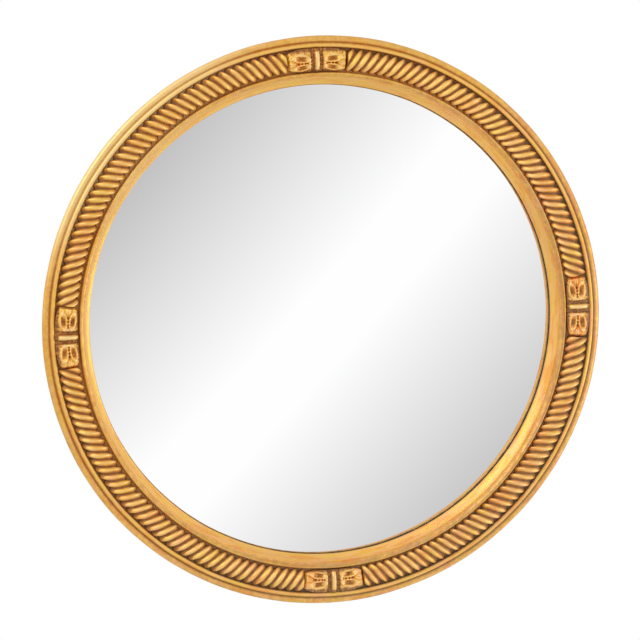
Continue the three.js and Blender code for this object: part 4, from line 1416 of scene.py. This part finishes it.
def wire_ring(scene):
    """The D ring: wire run and bent from one butt end round to the other, leg at the origin."""
    b = scene.mirror_back
    half, corner, radius = b.ring_width / 2, b.ring_corner, b.wire / 2
    bm = bmesh.new()
    first = bmesh.ops.create_circle(bm, cap_ends=False, segments=14, radius=radius)["verts"]
    bmesh.ops.rotate(bm, verts=first, cent=(0, 0, 0), matrix=Matrix.Rotation(math.pi / 2, 3, "Y"))
    bmesh.ops.translate(bm, verts=first, vec=(b.ring_butt / 2, 0, 0))
    loop = list({e for v in first for e in v.link_edges})

    def run(edges, vector):
        made = bmesh.ops.extrude_edge_only(bm, edges=edges)["geom"]
        bmesh.ops.translate(bm, verts=points_in(made), vec=vector)
        ends = set(points_in(made))
        return [edge for edge in edges_in(made) if set(edge.verts) <= ends]

    def bend(edges, centre, turn, steps):
        verts = list({v for e in edges for v in e.verts})
        made = bmesh.ops.spin(
            bm, geom=verts + edges, cent=centre, axis=(0, 0, 1), dvec=(0, 0, 0), angle=turn,
            steps=steps, use_merge=False,
        )["geom_last"]
        return edges_in(made)

    # the ring points to -y, folded over its strap
    quarter = math.pi / 2
    leg = half - corner - b.ring_butt / 2
    loop = run(loop, (leg, 0, 0))
    loop = bend(loop, (half - corner, -corner, 0), -quarter, 8)
    loop = run(loop, (0, corner - b.ring_side, 0))
    loop = bend(loop, (0, -b.ring_side, 0), -2 * quarter, 40)
    loop = run(loop, (0, b.ring_side - corner, 0))
    loop = bend(loop, (-half + corner, -corner, 0), -quarter, 8)
    run(loop, (leg, 0, 0))
    fill_holes(bm)
    close_up(bm)
    return bm


class MIRROR_OT_strap_hangers(bpy.types.Operator):
    """Make the two folded straps with their rings and screws"""

    bl_idname = "mirror_part.strap_hangers"
    bl_label = "Strap hangers"

    def execute(self, context):
        scene = context.scene
        b = scene.mirror_back
        gap = scene.mirror_ornament.gap
        hinge_height = gap + b.wire / 2 + gap + EYE_WALL
        strap_back = hinge_height - gap - b.strap
        # the ring leans on the strap with the far part of its bow
        over_strap = b.ring_side + math.sqrt((b.ring_width / 2) ** 2 - (b.strap_width / 2) ** 2)
        tilt = math.asin((b.wire / 2 + gap - strap_back) / over_strap)
        for side in HINGES:
            place = hanger_frame(side)
            strap = cut(folded_strap(scene), strap_plan(scene), "INTERSECT")
            for distance in (b.near_hole, b.far_hole):
                hole = b.shank / 2 + gap
                drill = turned([(0, -CUT_REACH), (hole, -CUT_REACH), (hole, CUT_REACH), (0, CUT_REACH)], 24)
                drill.transform(Matrix.Translation((0, -distance, 0)))
                strap = cut(strap, drill)
            strap.transform(place)
            add_piece(
                f"folded_strap_{side}", strap, [finish("brass")], f"strap_hanger_{side}",
                sharp_from=30,
            )
            ring = wire_ring(scene)
            ring.transform(place @ Matrix.Rotation(tilt, 4, "X"))
            add_piece(
                f"wire_ring_{side}", ring, [finish("brass")], f"hanger_ring_{side}",
                body=f"ring_{side}",
            )
            for number, distance in enumerate((b.near_hole, b.far_hole), 1):
                screw = woodscrew(scene, pan_head(scene), b.pan_screw, b.pan_head / 2)
                at = Matrix.Translation((0, -distance, strap_back - gap))
                screw.transform(place @ at @ Matrix.Rotation(number * 1.3 + len(side), 4, "Z"))
                name = f"hanger_screw_{side}_{number}"
                add_piece(
                    f"steel_screw_{side}_{number}", screw, [finish("zinc steel")], name,
                    worn=True,
                )
        return {"FINISHED"}


class MIRROR_OT_wall_bumpers(bpy.types.Operator):
    """Make the two felt bumpers low on the back"""

    bl_idname = "mirror_part.wall_bumpers"
    bl_label = "Wall bumpers"

    def execute(self, context):
        edge = context.scene.mirror_back.bumper_edge
        for side in ("right", "left"):
            low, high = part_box(f"wall_bumper_{side}")
            middle = STAND_UP.inverted() @ ((low + high) / 2)
            radius = (high.x - low.x) / 2
            half = (high.y - low.y) / 2
            section = [(0.0, half), (radius, half)]
            section += arc(radius - edge, -half + edge, edge, 0.0, -math.pi / 2, 5)
            section += [(0.0, -half)]
            bm = turned(section, 48)
            bm.transform(Matrix.Translation(middle))
            add_piece(f"felt_bumper_{side}", bm, [finish("black felt")], f"wall_bumper_{side}")
        return {"FINISHED"}


# ---- Studio -------------------------------------------------------------------------

# What the glass and the gilding reflect, from the upper left at -1 to the lower right at 1
SKY_STOPS = (
    (-1.0, 1.05), (-0.6, 0.95), (-0.27, 0.49), (0.19, 1.02), (0.31, 1.02), (0.68, 0.56), (0.82, 0.95),
    (1.0, 1.1),
)
SKY_SLANT = (0.7071, 0.0, -0.7071)
WHITE = (1.0, 1.0, 1.0)
FLOOR_COLOUR = (0.86, 0.86, 0.86, 1.0)
KEY_PLACE = (-2.2, -1.2, 2.0)
KEY_SIZE = 1.8
FILL_PLACE = (2.5, -1.3, -0.4)
FILL_SIZE = 1.0
SENSOR_WIDTH = 36.0


def sky(scene):
    """White to the camera, a soft band of light to the glass and the gilding, plain ambient light."""
    s = scene.mirror_studio
    world = bpy.data.worlds.new("studio")
    scene.world = world
    world.use_nodes = True
    tree = world.node_tree
    tree.nodes.clear()
    n = Nodes(tree)
    way = n.add("TexCoord").outputs["Generated"]
    slant = n.add("VectorMath", {0: way, 1: SKY_SLANT}, operation="DOT_PRODUCT").outputs["Value"]
    shifted = n.add("MapRange", {"Value": slant, "From Min": -1.0, "From Max": 1.0}).outputs[0]
    ramp = n.add("ValToRGB", {0: shifted})
    band = ramp.color_ramp.elements
    while len(band) < len(SKY_STOPS):
        band.new(0.5)
    top = max(level for _, level in SKY_STOPS)
    for stop, (where, level) in zip(band, SKY_STOPS):
        stop.position = (where + 1) / 2
        stop.color = (level / top, level / top, level / top, 1.0)
    path = n.add("LightPath")
    soft_light = n.add("Background", {"Color": WHITE, "Strength": s.ambient})
    reflected = n.add("Background", {"Color": ramp.outputs["Color"], "Strength": top})
    seen = n.add("Background", {"Color": WHITE, "Strength": 1.0})
    glossy = path.outputs["Is Glossy Ray"]
    lit = n.add("MixShader", {0: glossy, 1: soft_light.outputs[0], 2: reflected.outputs[0]})
    plain = n.math("MAXIMUM", path.outputs["Is Camera Ray"], path.outputs["Is Transmission Ray"])
    whole = n.add("MixShader", {0: plain, 1: lit.outputs[0], 2: seen.outputs[0]})
    n.add("OutputWorld", {"Surface": whole.outputs[0]})


def floor_material(radius):
    """Pale floor that fades into the white backdrop and isn't seen in the glass."""
    material, n, shader = new_material("pale floor")
    place = n.object_place()
    away = n.add("VectorMath", {0: place}, operation="LENGTH").outputs["Value"]
    fade = n.step(away, radius * 0.45, radius * 0.95)
    shader.inputs["Base Color"].default_value = FLOOR_COLOUR
    shader.inputs["Roughness"].default_value = 0.9
    path = n.add("LightPath")
    clear = n.add("BsdfTransparent")
    hidden = n.math("MAXIMUM", fade, path.outputs["Is Glossy Ray"])
    mixed = n.add("MixShader", {0: hidden, 1: shader.outputs[0], 2: clear.outputs[0]})
    out = material.node_tree.nodes["Material Output"]
    n.put(out.inputs["Surface"], mixed.outputs[0])
    return material


def area_lamp(name, place, power, size):
    """A large soft lamp that looks at the mirror."""
    data = bpy.data.lights.new(name, "AREA")
    data.energy = power
    data.size = size
    lamp = show(name, data)
    lamp.location = place
    lamp.rotation_mode = "QUATERNION"
    lamp.rotation_quaternion = (-Vector(place)).to_track_quat("-Z", "Y")


class MIRROR_OT_studio(bpy.types.Operator):
    """Set up the floor, the light and the camera"""

    bl_idname = "mirror_part.studio"
    bl_label = "Studio"

    def execute(self, context):
        scene = context.scene
        s = scene.mirror_studio
        scene.view_settings.view_transform = "Standard"
        sky(scene)
        bm = bmesh.new()
        bmesh.ops.create_circle(bm, cap_ends=True, segments=96, radius=s.floor_radius)
        bmesh.ops.translate(bm, verts=bm.verts, vec=(0, 0, -s.floor_drop))
        floor = show("floor", mesh_of("floor", bm))
        floor.data.materials.append(floor_material(s.floor_radius))
        area_lamp("key light", KEY_PLACE, s.key_power, KEY_SIZE)
        area_lamp("fill light", FILL_PLACE, s.fill_power, FILL_SIZE)
        # from the mirror towards the camera
        level = math.cos(s.elevation)
        back = Vector((math.sin(s.azimuth) * level, -math.cos(s.azimuth) * level, math.sin(s.elevation)))
        camera = show("camera", bpy.data.cameras.new("camera"))
        camera.data.lens = s.lens
        camera.data.sensor_width = SENSOR_WIDTH
        camera.location = Vector(s.target) + back * s.distance
        camera.rotation_mode = "QUATERNION"
        roll = Quaternion((0, 0, 1), -s.roll)
        camera.rotation_quaternion = (-back).to_track_quat("-Z", "Y") @ roll
        scene.camera = camera
        return {"FINISHED"}


# ---- Add-on -------------------------------------------------------------------------

PIECES = (
    MIRROR_OT_studio,
    MIRROR_OT_turned_frame,
    MIRROR_OT_rope_bands,
    MIRROR_OT_leaf_clasps,
    MIRROR_OT_convex_glass,
    MIRROR_OT_glass_bedding,
    MIRROR_OT_back_panel,
    MIRROR_OT_strap_hangers,
    MIRROR_OT_wall_bumpers,
)

SETTINGS = {
    "mirror_moulding": MouldingSettings,
    "mirror_ornament": OrnamentSettings,
    "mirror_glass": GlassSettings,
    "mirror_back": BackSettings,
    "mirror_finish": FinishSettings,
    "mirror_studio": StudioSettings,
}


class MIRROR_PT_panel(bpy.types.Panel):
    """Lists the pieces and their sizes"""

    bl_idname = "MIRROR_PT_panel"
    bl_label = "Convex gilt mirror"
    bl_space_type = "VIEW_3D"
    bl_region_type = "UI"
    bl_category = "Mirror"

    def draw(self, context):
        for operator in PIECES:
            self.layout.operator(operator.bl_idname)
        for name, settings in SETTINGS.items():
            box = self.layout.box()
            for label in settings.__annotations__:
                box.prop(getattr(context.scene, name), label)


def register():
    for name, settings in SETTINGS.items():
        bpy.utils.register_class(settings)
        setattr(bpy.types.Scene, name, bpy.props.PointerProperty(type=settings))
    for operator in PIECES:
        bpy.utils.register_class(operator)
    bpy.utils.register_class(MIRROR_PT_panel)


def unregister():
    bpy.utils.unregister_class(MIRROR_PT_panel)
    for operator in reversed(PIECES):
        bpy.utils.unregister_class(operator)
    for name, settings in SETTINGS.items():
        delattr(bpy.types.Scene, name)
        bpy.utils.unregister_class(settings)


def main():
    register()
    for operator in PIECES:
        group, name = operator.bl_idname.split(".")
        getattr(getattr(bpy.ops, group), name)()


if __name__ == "__main__":
    main()
